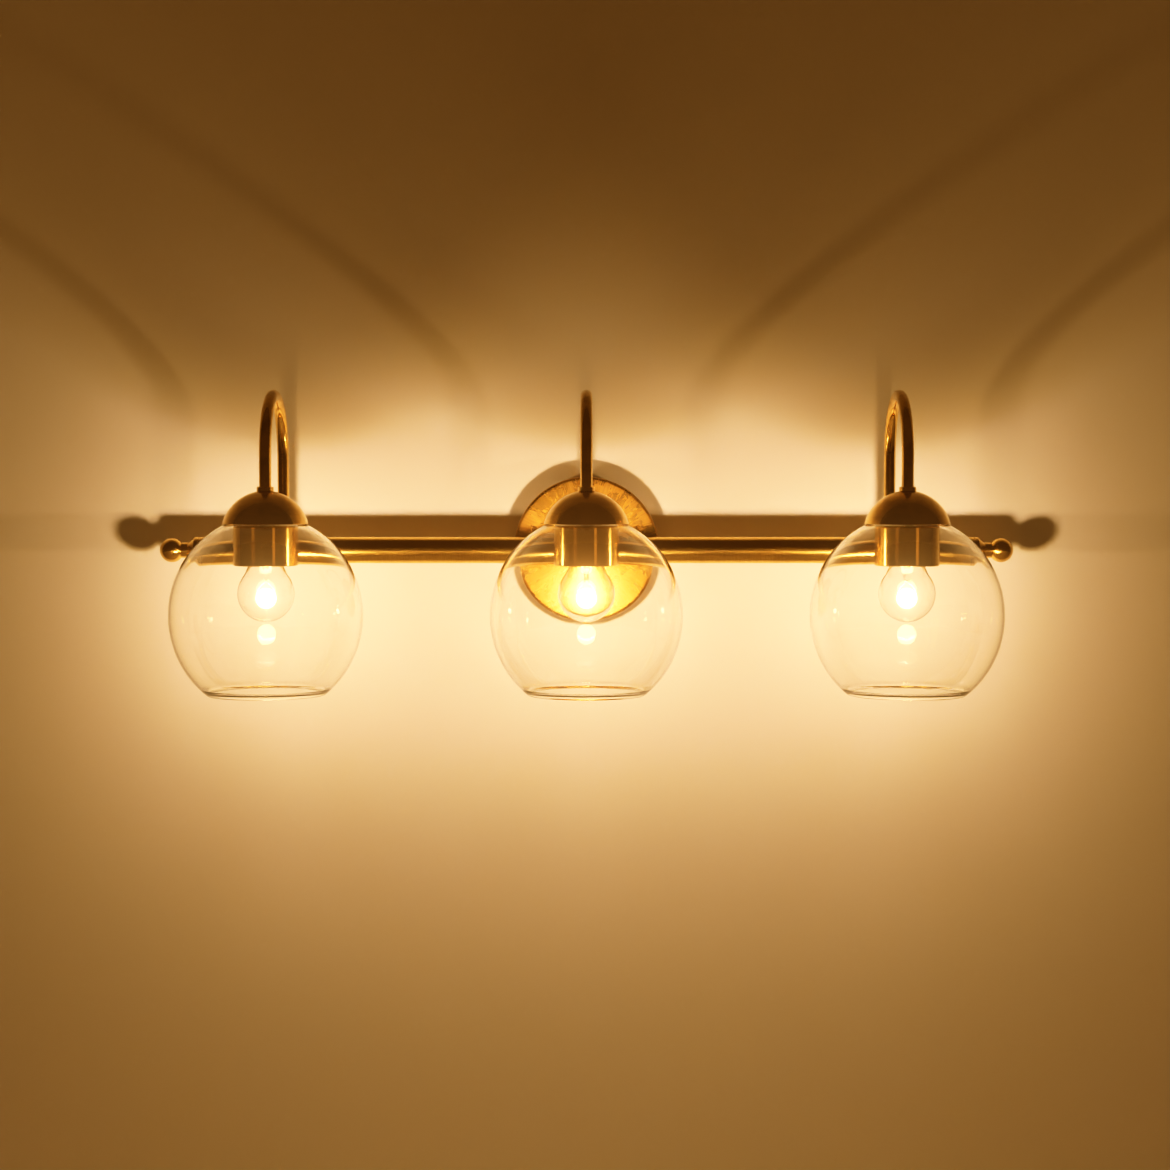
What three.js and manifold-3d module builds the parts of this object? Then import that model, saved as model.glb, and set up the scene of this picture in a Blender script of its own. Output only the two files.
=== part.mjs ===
// Three-lamp vanity light bar: a round wall canopy carries a horizontal tube with ball finials.
// Three goosenecks rise from the tube, curve forwards and hang a domed cap, a lampholder,
// an open glass globe and a screw-in bulb each.
//
// Millimetres. +Z is up, +X runs along the bar, +Y points into the wall.
// Origin: the middle of the mounting bracket's back face, on the wall plane Y = 0.

import * as THREE from "three";
import { mergeVertices } from "three/addons/utils/BufferGeometryUtils.js";
import Module from "manifold-3d";

const wasm = await Module();
wasm.setup();

// ---------------------------------------------------------------- driving dimensions

const overallLength = 710; // ball tip to ball tip
const lampSpacing = 252;
const lampNames = ["left", "centre", "right"];
const seat = 0.3; // gap between two pieces that touch or screw together
const slip = 0.6; // clearance of a part that turns, lifts out or lies against the globe's facets

// Bar and its ends
const barDiameter = 22.2;
const barWall = 1.2;
const finialDiameter = 20.2;
const neckDiameter = 13;
const neckLength = 5.4;
const plugConeLength = 5.6;
const plugCollarLength = 3.2;
const plugSpigotLength = 8;
const finialStudDiameter = 6;
const finialStudLength = 8;

// Wall canopy, bracket and their screws
const canopyDiameter = 122;
const canopyDepth = 20;
const canopyWall = 1.2;
const canopyEdgeRadius = 2.6;
const bracketWidth = 20;
const bracketThickness = 1.5;
const bracketTabDepth = 15;
const bracketClearance = 1.4; // tab to the inside of the canopy
const boxScrewSpacing = 89; // junction-box screws, centre to centre
const boxSlotLength = 14;
const boxSlotWidth = 4.6;
const canopyScrewHeight = 10; // screw axis to the wall
const canopyScrewDiameter = 3.4;
const canopyScrewHead = 7;
const canopyScrewHeadDepth = 2.6;
const canopyScrewPastBracket = 4;
const groundScrewOffset = -22;
const groundScrewDiameter = 4;
const groundScrewHead = 8;
const groundScrewHeadDepth = 2.2;
const panHeadSide = 0.55; // share of a screw head's depth that is straight
const panHeadCrown = 0.72; // width of its flat top against the head

// Stem between canopy and bar
const stemLength = 6.9; // canopy face to bar
const stemFlangeWidth = 6;
const stemFlangeDepth = 2.2;
const stemFlangeLand = 0.6; // share of the flange's depth that is straight
const stemFlangeSlope = 1.4;
const stemWall = 4;
const saddleDepth = 0.7; // a piece hollowed to sit on the bar starts at this share of the bar's radius
const nippleDiameter = 10;
const nippleBore = 7;
const nippleInCanopy = 8; // thread that stands behind the canopy face
const nippleInBar = 3;
const washerRim = 4; // metal round the hole
const washerThickness = 1;
const locknutRim = 2; // metal round the thread, at the flats
const locknutThickness = 3.4;

// Goosenecks
const armDiameter = 9.5;
const armWall = 0.8;
const armReach = 99; // bar axis to lamp axis
const armTop = 131; // crown of the tube above the bar axis
const armInBar = 3;
const armCollarRim = 2; // metal round the tube
const armCollarHeight = 5;
const ringChamfer = 0.8; // upper edge of the collars and rings round a gooseneck

// Lamp head, measured down from the dome's rim
const domeRimHeight = 23.8; // above the bar axis
const domeDiameter = 67.2;
const domeHeight = 26.2;
const domeWall = 1;
const checkRingRim = 2;
const checkRingHeight = 3;
const domeNutRim = 1.25;
const domeNutThickness = 3.4;
const lampholderWall = 2.8;
const lampholderTop = 17.2; // above the rim
const lampholderBottom = 25.8; // below the rim
const lampholderCrown = 3; // flat ring round the bore on top
const lampholderBoreDepth = 7.3;
const wireHoleDiameter = 5;
const shellWall = 0.5; // of the brass screw shell
const shellLipDrop = 1.5; // below the bulb's tip
const shellLipClearance = 5; // round the bulb's tip
const shellInset = 2.2; // its lower edge above the lampholder's
const retainerWall = 1.2;
const contactGap = 0.5; // strip above the bulb's tip
const contactRise = 2.2; // spring in the strip
const contactThickness = 0.5;
const contactWidth = 6;
const contactFlat = 8; // length of the part that meets the tip
const contactInset = 2; // its ends inside the screw shell
const leadInHolder = 1; // the lead's end above the lampholder's cavity
const retainerBottom = 32.8;
const retainerEdge = 1.2; // chamfer of its upper edge
const retainerLip = [0.4, 0.8]; // chamfer of its mouth, in and up
const retainerSlope = 1; // thickening under its flange
const retainerThreadLength = 11;
const gasketThickness = 1;
const gasketInset = 0.5; // from the retainer's side and from the glass's neck
const gasketOverhang = 1.5; // into the neck hole

// Glass globe
const shadeDiameter = 152;
const shadeStretch = 1.04; // height of the blown globe against its width
const shadeWall = 2.5;
const shadeNeckClearance = 4.5; // neck hole round the lampholder
const shadeSeatWidth = 4; // glass that rests on the retainer cup
const shadeMouthDiameter = 93.2;
const shadeLip = 1.6; // width of the ground edge round the mouth

// Bulb: E26 base, 45 mm globe
const bulbDiameter = 45;
const bulbLength = 79;
const bulbWall = 0.8;
const bulbBaseDiameter = 25.6;
const bulbBaseHeight = 23;
const bulbBaseWall = 0.7;
const bulbBaseTaper = 2.5; // height of the part above the thread
const bulbBaseShoulder = 2.2; // and how far it closes in
const bulbInsulatorRim = 1.5; // round the tip
const bulbBaseInset = 0.5; // its lower edge above the lampholder's
const bulbTipDiameter = 9;
const bulbTipHeight = 4;
const bulbInBase = 8; // glass that stands in the base
const bulbShoulder = [[0, 2], [0.6, 6], [2.2, 9.4]]; // out from the neck and down from the base
const bulbShoulderAngle = 44; // where the shoulder meets the round part
const mountDiameter = 6;
const mountInBase = 6;
const mountFoot = 0.45; // above the bulb's centre, as a share of its radius
const filamentDrop = 0.2; // below the bulb's centre, the same way
const filamentSpread = 6;
const filamentDiameter = 1.8;
const filamentWire = 1;

// Lead inside the tubes
const leadDiameter = 2.4;
const leadSpread = 1.4; // each lead off the stem's axis, both ways
const leadBend = 6;

// Facets round each kind of piece
const sides = { glass: 24, dome: 20, medium: 16, small: 12, tiny: 8, arm: 10, bore: 8, lead: 6 };
const steps = { glass: 9, dome: 5, ball: 7, bulb: 6, edge: 3, arm: 14, lead: 10, turn: 3 };

// ---------------------------------------------------------------- derived sizes

const barRadius = barDiameter / 2;
const barBoreRadius = barRadius - barWall;
const finialRadius = finialDiameter / 2;
const finialCentreX = overallLength / 2 - finialRadius;
const finialSeatRadius = neckDiameter / 2 - seat;
const finialSeatX = finialCentreX - Math.sqrt(finialRadius ** 2 - finialSeatRadius ** 2);
const neckEndX = finialSeatX - seat;
const coneStartX = neckEndX - neckLength - plugConeLength;
const collarStartX = coneStartX - plugCollarLength;
const barEndX = collarStartX - seat;

const canopyRadius = canopyDiameter / 2;
const canopyBoreRadius = canopyRadius - canopyWall;
const bracketHalf = Math.sqrt((canopyBoreRadius - bracketClearance) ** 2 - (bracketWidth / 2) ** 2);
const canopyScrewShank = canopyRadius + seat - bracketHalf + canopyScrewPastBracket;

const barStandoff = canopyDepth + stemLength + barRadius; // wall to bar axis
const nippleHoleRadius = nippleDiameter / 2 + seat;

const armRadius = armDiameter / 2;
const armHoleRadius = armRadius + seat;
const armPitchRadius = armReach / 2;
const arcCentreZ = armTop - armRadius - armPitchRadius;
const lampY = -(barStandoff + armReach);
const armLowEndZ = barBoreRadius - armInBar;
const armTipZ = domeRimHeight + lampholderTop - lampholderBoreDepth + seat;

const shadeRadius = shadeDiameter / 2;
const shadeInner = shadeRadius - shadeWall;
const domeRadius = domeDiameter / 2;
// The dome is a cap of a sphere whose centre lies below its rim.
const capRadius = (domeRadius ** 2 + domeHeight ** 2) / (2 * domeHeight);
const capCentre = domeHeight - capRadius;
const capHeight = (radius, shrink = 0) => Math.sqrt((capRadius - shrink) ** 2 - radius ** 2) + capCentre;
// The globe's section is an ellipse; the glass meets the inner edge of the dome's rim.
const shadeRise = shadeRadius * shadeStretch;
const ellipseHeight = (rise, radius, reach) => rise * Math.sqrt(1 - (reach / radius) ** 2);
const shadeCentre = ellipseHeight(shadeRise, shadeRadius, domeRadius - domeWall) + slip;
const mouthRadius = shadeMouthDiameter / 2;

const bulbRadius = bulbDiameter / 2;
const bulbBaseRadius = bulbBaseDiameter / 2;
const bulbBaseBottom = lampholderBottom - bulbBaseInset;
const bulbTipZ = bulbBaseHeight + bulbTipHeight - bulbBaseBottom;
const bulbCentre = bulbLength - bulbRadius - bulbTipZ;
const bulbNeckRadius = bulbBaseRadius - bulbBaseWall - seat;
const shellInnerRadius = bulbBaseRadius + slip;
const shellOuterRadius = shellInnerRadius + shellWall;
const holderRadius = shellOuterRadius + seat + lampholderWall;
const shellTop = bulbTipZ - shellLipDrop;
const contactZ = bulbTipZ + contactGap;
const holderCavityTopZ = contactZ + contactRise;
const leadTipZ = domeRimHeight + holderCavityTopZ + leadInHolder;

const neckHoleRadius = holderRadius + shadeNeckClearance;
const retainerRadius = neckHoleRadius + shadeSeatWidth;
const gasketOuter = retainerRadius - gasketInset;
const gasketInner = neckHoleRadius - gasketOverhang;
const shadeInnerRise = shadeRise - shadeWall;
const underGlass = (reach) => ellipseHeight(shadeInnerRise, shadeInner, reach) - shadeCentre - slip;
const gasketBottomZ = underGlass(gasketOuter) - gasketThickness;
const retainerTopZ = gasketBottomZ - seat;

// ---------------------------------------------------------------- geometry helpers

const point = (x, y) => new THREE.Vector2(x, y);
const space = (x, y, z) => new THREE.Vector3(x, y, z);

// Points on a circle or ellipse about (cx, cy), from one angle to another, both ends included.
function arc(cx, cy, rx, ry, from, to, count) {
  return Array.from({ length: count + 1 }, (_, i) => {
    const angle = THREE.MathUtils.degToRad(from + ((to - from) * i) / count);
    return point(cx + rx * Math.cos(angle), cy + ry * Math.sin(angle));
  });
}

// Turns a profile of [radius, height] points about Z.
function turned(profile, segments, closed = true) {
  const points = closed ? [...profile, profile[0].clone()] : profile;
  return new THREE.LatheGeometry(points, segments).rotateX(Math.PI / 2);
}

function ring(inner, outer, bottom, top, segments) {
  const profile = [point(outer, bottom), point(outer, top), point(inner, top), point(inner, bottom)];
  return turned(profile, segments);
}

function rod(radius, bottom, top, segments) {
  const profile = [point(0, bottom), point(radius, bottom), point(radius, top), point(0, top)];
  return turned(profile, segments, false);
}

// A cutting tool whose flats, not its corners, lie on the given radius.
function drill(radius, bottom, top, segments) {
  return rod(radius / Math.cos(Math.PI / segments), bottom, top, segments);
}

function hexRing(flats, inner, bottom, top) {
  const outer = rod(flats / Math.sqrt(3), bottom, top, 6);
  return cut(outer, drill(inner, bottom - 1, top + 1, sides.tiny));
}

function outline(points) {
  return new THREE.Shape(points);
}

function circle(radius, segments) {
  return arc(0, 0, radius, radius, 0, 360 - 360 / segments, segments - 1);
}

// A closed mesh as a solid that can be cut and joined.
function solid(geometry) {
  const bare = geometry.clone();
  bare.deleteAttribute("normal");
  bare.deleteAttribute("uv");
  const merged = mergeVertices(bare);
  const mesh = { numProp: 3, vertProperties: merged.attributes.position.array };
  return new wasm.Manifold(new wasm.Mesh({ ...mesh, triVerts: new Uint32Array(merged.index.array) }));
}

function geometryOf(body) {
  const mesh = body.getMesh();
  const geometry = new THREE.BufferGeometry();
  geometry.setAttribute("position", new THREE.Float32BufferAttribute(mesh.vertProperties, 3));
  geometry.setIndex(new THREE.Uint32BufferAttribute(mesh.triVerts, 1));
  geometry.computeVertexNormals();
  return geometry;
}

function cut(geometry, ...tools) {
  return geometryOf(tools.reduce((body, tool) => body.subtract(solid(tool)), solid(geometry)));
}

function join(geometry, ...others) {
  return geometryOf(others.reduce((body, other) => body.add(solid(other)), solid(geometry)));
}

// A circular arc in space: it starts along u from the centre and turns towards v.
class SpaceArc extends THREE.Curve {
  constructor(centre, u, v, radius, sweep) {
    super();
    Object.assign(this, { centre, u, v, radius, sweep });
  }

  getPoint(t, target = new THREE.Vector3()) {
    const angle = THREE.MathUtils.degToRad(this.sweep) * t;
    target.copy(this.centre);
    target.addScaledVector(this.u, this.radius * Math.cos(angle));
    return target.addScaledVector(this.v, this.radius * Math.sin(angle));
  }
}

const straight = (from, to) => ({ curve: new THREE.LineCurve3(from, to), steps: 1 });

function bend(centre, u, v, radius, sweep, steps) {
  return { curve: new SpaceArc(centre, u, v, radius, sweep), steps };
}

// Legs joined end to end; each leg takes its own number of steps, so straight ones stay plain.
class Route extends THREE.Curve {
  constructor(legs) {
    super();
    this.legs = legs;
    this.steps = legs.reduce((sum, leg) => sum + leg.steps, 0);
  }

  getPoint(t, target = new THREE.Vector3()) {
    let place = t * this.steps;
    let index = 0;
    while (index < this.legs.length - 1 && place > this.legs[index].steps) {
      place -= this.legs[index].steps;
      index += 1;
    }
    const leg = this.legs[index];
    return leg.curve.getPoint(place / leg.steps, target);
  }

  getUtoTmapping(u) {
    return u;
  }
}

function swept(shape, route) {
  return new THREE.ExtrudeGeometry(shape, { steps: route.steps, extrudePath: route, bevelEnabled: false });
}

// ---------------------------------------------------------------- materials

const metal = (color, roughness) => new THREE.MeshStandardMaterial({ color, roughness, metalness: 1 });
const antiqueBrass = () => metal(0x9a7434, 0.34);
const plainSteel = () => metal(0xb4b6b8, 0.42);
const bareBrass = () => metal(0xc9a34e, 0.3);
const nickel = () => metal(0xc8c6c0, 0.25);

const dull = (color, roughness) => new THREE.MeshStandardMaterial({ color, roughness, metalness: 0 });
const phenolic = () => dull(0x1d1b1a, 0.55);
const feltGrey = () => dull(0xd8d4cc, 0.9);
const wireWhite = () => dull(0xe6e2d8, 0.5);
const groundGreen = () => metal(0x3f7f49, 0.4);

function clearGlass(opacity) {
  const settings = { color: 0xf4f7f5, roughness: 0.03, metalness: 0, transparent: true, opacity };
  return new THREE.MeshStandardMaterial(settings);
}

function filamentGlow() {
  const settings = { color: 0xffd9a0, roughness: 0.6, metalness: 0, emissive: 0xffb35c };
  return new THREE.MeshStandardMaterial(settings);
}

function piece(name, geometry, material) {
  const mesh = new THREE.Mesh(geometry, material);
  mesh.name = name;
  return mesh;
}

// ---------------------------------------------------------------- wall bracket and canopy

// Strap against the wall with both ends bent forwards; drawn as depth against height.
function bracketBlank() {
  const deep = bracketTabDepth;
  const t = bracketThickness;
  const h = bracketHalf;
  const bend = 2 * t;
  const corner = (side) => arc(bend, side * (h - bend), bend, bend, 180, 180 - side * 90, 4);
  const inside = (side) => arc(bend, side * (h - bend), bend - t, bend - t, 180, 180 - side * 90, 4);
  const loop = [
    ...corner(-1).reverse(),
    ...corner(1),
    point(deep, h),
    point(deep, h - t),
    ...inside(1).reverse(),
    ...inside(-1),
    point(deep, t - h),
    point(deep, -h),
  ];
  const strap = new THREE.ExtrudeGeometry(outline(loop), { depth: bracketWidth, bevelEnabled: false });
  return strap.translate(0, 0, -bracketWidth / 2);
}

function slotTool() {
  const half = (boxSlotLength - boxSlotWidth) / 2;
  const radius = boxSlotWidth / 2;
  const loop = [...arc(half, 0, radius, radius, -90, 90, 6), ...arc(-half, 0, radius, radius, 90, 270, 6)];
  const tool = new THREE.ExtrudeGeometry(outline(loop), { depth: 6, bevelEnabled: false });
  return tool.translate(0, 0, -3).rotateY(Math.PI / 2);
}

// The blank's depth runs along its own X; the mesh is turned so that it points away from the wall.
function mountingBracket() {
  const slot = boxScrewSpacing / 2;
  const high = slotTool().rotateX(Math.PI / 2).translate(0, slot, 0);
  const low = slotTool().rotateX(Math.PI / 2).translate(0, -slot, 0);
  const tapped = drill(canopyScrewDiameter / 2 + seat, -bracketHalf - 2, bracketHalf + 2, sides.tiny);
  const screwHole = tapped.rotateX(-Math.PI / 2).translate(canopyScrewHeight, 0, 0);
  const ground = drill(groundScrewDiameter / 2 + seat, -3, 3, sides.tiny);
  const groundHole = ground.rotateY(Math.PI / 2).translate(0, groundScrewOffset, 0);
  const geometry = cut(bracketBlank(), high, low, screwHole, groundHole);
  const mesh = piece("mounting_bracket", geometry, plainSteel());
  mesh.rotation.set(Math.PI / 2, 0, -Math.PI / 2, "ZXY");
  return mesh;
}

function panHead(headRadius, headDepth, shankRadius, shankLength) {
  const profile = [
    point(0, -shankLength),
    point(shankRadius, -shankLength),
    point(shankRadius, 0),
    point(headRadius, 0),
    point(headRadius, headDepth * panHeadSide),
    point(headRadius * panHeadCrown, headDepth),
    point(0, headDepth),
  ];
  return turned(profile, sides.tiny, false);
}

function groundScrew() {
  const shank = bracketThickness - seat;
  const geometry = panHead(groundScrewHead / 2, groundScrewHeadDepth, groundScrewDiameter / 2, shank);
  const mesh = piece("ground_screw", geometry, groundGreen());
  mesh.rotation.x = Math.PI / 2;
  mesh.position.set(0, -(bracketThickness + seat), groundScrewOffset);
  return mesh;
}

function canopyScrew(name, side) {
  const shank = canopyScrewDiameter / 2;
  const geometry = panHead(canopyScrewHead / 2, canopyScrewHeadDepth, shank, canopyScrewShank);
  const mesh = piece(name, geometry, antiqueBrass());
  mesh.rotation.x = side > 0 ? 0 : Math.PI;
  mesh.position.set(0, -canopyScrewHeight, side * (canopyRadius + seat));
  return mesh;
}

// Spun cup, open towards the wall; its own Z points into the room.
function canopy() {
  const edge = canopyEdgeRadius;
  const inner = edge - canopyWall;
  const face = canopyDepth;
  const profile = [
    point(canopyRadius, 0),
    ...arc(canopyRadius - edge, face - edge, edge, edge, 0, 90, steps.edge),
    point(nippleHoleRadius, face),
    point(nippleHoleRadius, face - canopyWall),
    ...arc(canopyRadius - edge, face - edge, inner, inner, 90, 0, steps.edge - 1),
    point(canopyBoreRadius, 0),
  ];
  const reach = canopyRadius + 5;
  const hole = drill(canopyScrewDiameter / 2 + seat, -reach, reach, sides.tiny);
  const screwHoles = hole.rotateX(Math.PI / 2).translate(0, 0, canopyScrewHeight);
  const mesh = piece("canopy", cut(turned(profile, sides.glass), screwHoles), antiqueBrass());
  mesh.rotation.x = Math.PI / 2;
  return mesh;
}

function wallMount() {
  const group = new THREE.Group();
  group.add(mountingBracket(), groundScrew(), canopy());
  group.add(canopyScrew("canopy_screw_top", 1), canopyScrew("canopy_screw_bottom", -1));
  return group;
}

// ---------------------------------------------------------------- stem

// The group's own Z points into the room, with Z = 0 on the canopy's face.
function stem() {
  const toBarAxis = barStandoff - canopyDepth;
  const body = nippleDiameter / 2 + stemWall;
  const flange = body + stemFlangeWidth;
  const top = toBarAxis - barRadius * saddleDepth;
  const profile = [
    point(nippleHoleRadius, seat),
    point(flange, seat),
    point(flange, stemFlangeDepth * stemFlangeLand),
    point(flange - stemFlangeSlope, stemFlangeDepth),
    point(body, stemFlangeDepth),
    point(body, top),
    point(nippleHoleRadius, top),
  ];
  const bar = drill(barRadius + seat, -30, 30, sides.glass).rotateY(Math.PI / 2).translate(0, 0, toBarAxis);
  return piece("stem", cut(turned(profile, sides.medium), bar), antiqueBrass());
}

function stemNipple() {
  const end = barStandoff - canopyDepth - barBoreRadius + nippleInBar;
  const start = -canopyWall - nippleInCanopy;
  const tube = ring(nippleBore / 2, nippleDiameter / 2, start, end, sides.small);
  return piece("stem_nipple", tube, plainSteel());
}

function stemHardware() {
  const group = new THREE.Group();
  const bore = nippleHoleRadius;
  const thread = nippleDiameter / 2;
  const washerTop = -canopyWall - seat;
  const nutTop = washerTop - washerThickness - seat;
  const washer = ring(bore, thread + washerRim, washerTop - washerThickness, washerTop, sides.small);
  const nut = hexRing(nippleDiameter + 2 * locknutRim, bore, nutTop - locknutThickness, nutTop);
  group.add(stem(), stemNipple(), piece("stem_washer", washer, plainSteel()));
  group.add(piece("stem_locknut", nut, plainSteel()));
  group.rotation.x = Math.PI / 2;
  group.position.y = -canopyDepth;
  return group;
}

// ---------------------------------------------------------------- bar

// The bar group's own Z runs along the bar, and its own X points down.
function barTube() {
  const tube = ring(barBoreRadius, barRadius, -barEndX, barEndX, sides.dome);
  const armHole = drill(armHoleRadius, 0, barRadius + 2, sides.tiny).rotateY(-Math.PI / 2);
  const armHoles = lampNames.map((_, i) => armHole.clone().translate(0, 0, (i - 1) * lampSpacing));
  const stemHole = drill(nippleHoleRadius, 0, barRadius + 2, sides.small).rotateX(-Math.PI / 2);
  return piece("bar_tube", cut(tube, ...armHoles, stemHole), antiqueBrass());
}

function endPlug(name) {
  const studHole = finialStudDiameter / 2 + seat;
  const profile = [
    point(0, barEndX - plugSpigotLength),
    point(barBoreRadius - seat, barEndX - plugSpigotLength),
    point(barBoreRadius - seat, collarStartX),
    point(barRadius, collarStartX),
    point(barRadius, coneStartX),
    point(neckDiameter / 2, coneStartX + plugConeLength),
    point(neckDiameter / 2, neckEndX),
    point(studHole, neckEndX),
    point(studHole, finialSeatX - finialStudLength - seat),
    point(0, finialSeatX - finialStudLength - seat),
  ];
  return piece(name, turned(profile, sides.medium, false), antiqueBrass());
}

function finial(name) {
  const stud = finialStudDiameter / 2;
  const seatAngle = THREE.MathUtils.radToDeg(Math.asin(finialSeatRadius / finialRadius));
  const profile = [
    point(0, finialSeatX - finialStudLength),
    point(stud, finialSeatX - finialStudLength),
    point(stud, finialSeatX),
    ...arc(0, finialCentreX, finialRadius, finialRadius, seatAngle - 90, 90, steps.ball).slice(0, -1),
    point(0, finialCentreX + finialRadius),
  ];
  return piece(name, turned(profile, sides.medium, false), antiqueBrass());
}

function bar() {
  const group = new THREE.Group();
  const rightEnd = new THREE.Group();
  const leftEnd = new THREE.Group();
  rightEnd.add(endPlug("bar_end_plug_right"), finial("finial_right"));
  leftEnd.add(endPlug("bar_end_plug_left"), finial("finial_left"));
  leftEnd.rotation.y = Math.PI;
  group.add(barTube(), rightEnd, leftEnd);
  group.rotation.y = Math.PI / 2;
  group.position.y = -barStandoff;
  return group;
}

// ---------------------------------------------------------------- goosenecks

// From the lamp up the front leg, back over the arc and down the rear leg to the bar.
function gooseneckLegs(x, tipZ, lowZ, arcSteps) {
  const rear = -barStandoff;
  const centre = space(x, rear - armPitchRadius, arcCentreZ);
  return [
    straight(space(x, lampY, tipZ), space(x, lampY, arcCentreZ)),
    bend(centre, space(0, -1, 0), space(0, 0, 1), armPitchRadius, 180, arcSteps),
    straight(space(x, rear, arcCentreZ), space(x, rear, lowZ)),
  ];
}

function armTube(lamp) {
  const section = outline(circle(armRadius, sides.arm));
  section.holes.push(new THREE.Path(circle(armRadius - armWall, sides.bore).reverse()));
  const route = new Route(gooseneckLegs(0, armTipZ, armLowEndZ, steps.arm));
  return piece(`arm_tube_${lamp}`, swept(section, route), antiqueBrass());
}

// Ring at the foot of the gooseneck, hollowed underneath to sit on the round bar.
function armBaseCollar(lamp) {
  const outer = armRadius + armCollarRim;
  const top = barRadius + armCollarHeight;
  const profile = [
    point(outer, barRadius * saddleDepth),
    point(outer, top - ringChamfer),
    point(outer - ringChamfer, top),
    point(armHoleRadius, top),
    point(armHoleRadius, barRadius * saddleDepth),
  ];
  const barCut = drill(barRadius + seat, -outer - 2, outer + 2, sides.glass).rotateY(Math.PI / 2);
  const mesh = piece(`arm_base_collar_${lamp}`, cut(turned(profile, sides.small), barCut), antiqueBrass());
  mesh.position.y = -barStandoff;
  return mesh;
}

// Lead from the lampholder back through the gooseneck, along the bar and out through the stem.
function lampLead(lamp, index) {
  const side = index - 1;
  const x = side * lampSpacing;
  const rear = -barStandoff;
  const out = -canopyDepth + canopyWall + nippleInCanopy;
  const level = side === 0 ? leadSpread : -leadSpread;
  const place = side * leadSpread;
  const low = level + leadBend;
  const down = space(0, 0, -1);
  const front = space(0, -1, 0);
  const legs = gooseneckLegs(x, leadTipZ, low, steps.lead);
  if (side === 0) {
    legs.push(bend(space(x, rear + leadBend, low), front, down, leadBend, 90, steps.turn));
  } else {
    const outward = space(side, 0, 0);
    const inward = space(-side, 0, 0);
    const entry = x - side * leadBend;
    const exit = place + side * leadBend;
    legs.push(bend(space(entry, rear, low), outward, down, leadBend, 90, steps.turn));
    legs.push(straight(space(entry, rear, level), space(exit, rear, level)));
    legs.push(bend(space(exit, rear + leadBend, level), front, inward, leadBend, 90, steps.turn));
  }
  legs.push(straight(space(place, rear + leadBend, level), space(place, out, level)));
  const section = outline(circle(leadDiameter / 2, sides.lead));
  return piece(`lamp_lead_${lamp}`, swept(section, new Route(legs)), wireWhite());
}

// ---------------------------------------------------------------- lamp head

// In every lamp-head piece Z = 0 is the dome's rim.
function domeCap(lamp) {
  const inner = capRadius - domeWall;
  const rimAngle = (radius) => THREE.MathUtils.radToDeg(Math.asin(-capCentre / radius));
  const boreAngle = (radius) => THREE.MathUtils.radToDeg(Math.acos(armHoleRadius / radius));
  const profile = [
    ...arc(0, capCentre, capRadius, capRadius, rimAngle(capRadius), boreAngle(capRadius), steps.dome),
    ...arc(0, capCentre, inner, inner, boreAngle(inner), rimAngle(inner), steps.dome),
  ];
  return piece(`dome_cap_${lamp}`, turned(profile, sides.dome), antiqueBrass());
}

function checkRing(lamp) {
  const outer = armRadius + checkRingRim;
  const crown = capHeight(armRadius) + seat;
  const top = crown + checkRingHeight;
  const bore = armHoleRadius;
  const profile = [
    point(outer, crown),
    point(outer, top - ringChamfer),
    point(outer - ringChamfer, top),
    point(bore, top),
    point(bore, crown),
  ];
  return piece(`check_ring_${lamp}`, turned(profile, sides.small), antiqueBrass());
}

function domeLocknut(lamp) {
  const flats = armDiameter + 2 * domeNutRim;
  const corner = flats / Math.sqrt(3);
  const top = capHeight(corner, domeWall) - seat;
  const nut = hexRing(flats, armHoleRadius, top - domeNutThickness, top);
  return piece(`dome_locknut_${lamp}`, nut, plainSteel());
}

function lampholderBody(lamp) {
  const cavity = shellOuterRadius + seat;
  const armBore = armHoleRadius;
  const wire = wireHoleDiameter / 2;
  const boreFloor = lampholderTop - lampholderBoreDepth;
  const profile = [
    point(holderRadius, -lampholderBottom),
    point(holderRadius, boreFloor),
    point(armBore + lampholderCrown, lampholderTop),
    point(armBore, lampholderTop),
    point(armBore, boreFloor),
    point(wire, boreFloor),
    point(wire, holderCavityTopZ),
    point(cavity, holderCavityTopZ),
    point(cavity, -lampholderBottom),
  ];
  return piece(`lampholder_${lamp}`, turned(profile, sides.medium), phenolic());
}

function screwShell(lamp) {
  const lip = bulbTipDiameter / 2 + shellLipClearance;
  const profile = [
    point(shellOuterRadius, shellInset - lampholderBottom),
    point(shellOuterRadius, shellTop),
    point(lip, shellTop),
    point(lip, shellTop - shellWall),
    point(shellInnerRadius, shellTop - shellWall),
    point(shellInnerRadius, shellInset - lampholderBottom),
  ];
  return piece(`screw_shell_${lamp}`, turned(profile, sides.small), bareBrass());
}

// Springy strip across the top of the cavity, bent down to meet the bulb's tip.
function centreContact(lamp) {
  const top = holderCavityTopZ - seat;
  const half = shellOuterRadius - contactInset;
  const flat = contactFlat / 2;
  const thick = contactThickness;
  const loop = [
    point(-half, top - thick),
    point(-flat, contactZ),
    point(flat, contactZ),
    point(half, top - thick),
    point(half, top),
    point(flat, contactZ + thick),
    point(-flat, contactZ + thick),
    point(-half, top),
  ];
  const strip = new THREE.ExtrudeGeometry(outline(loop), { depth: contactWidth, bevelEnabled: false });
  strip.translate(0, 0, -contactWidth / 2).rotateX(Math.PI / 2);
  return piece(`centre_contact_${lamp}`, strip, bareBrass());
}

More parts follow.
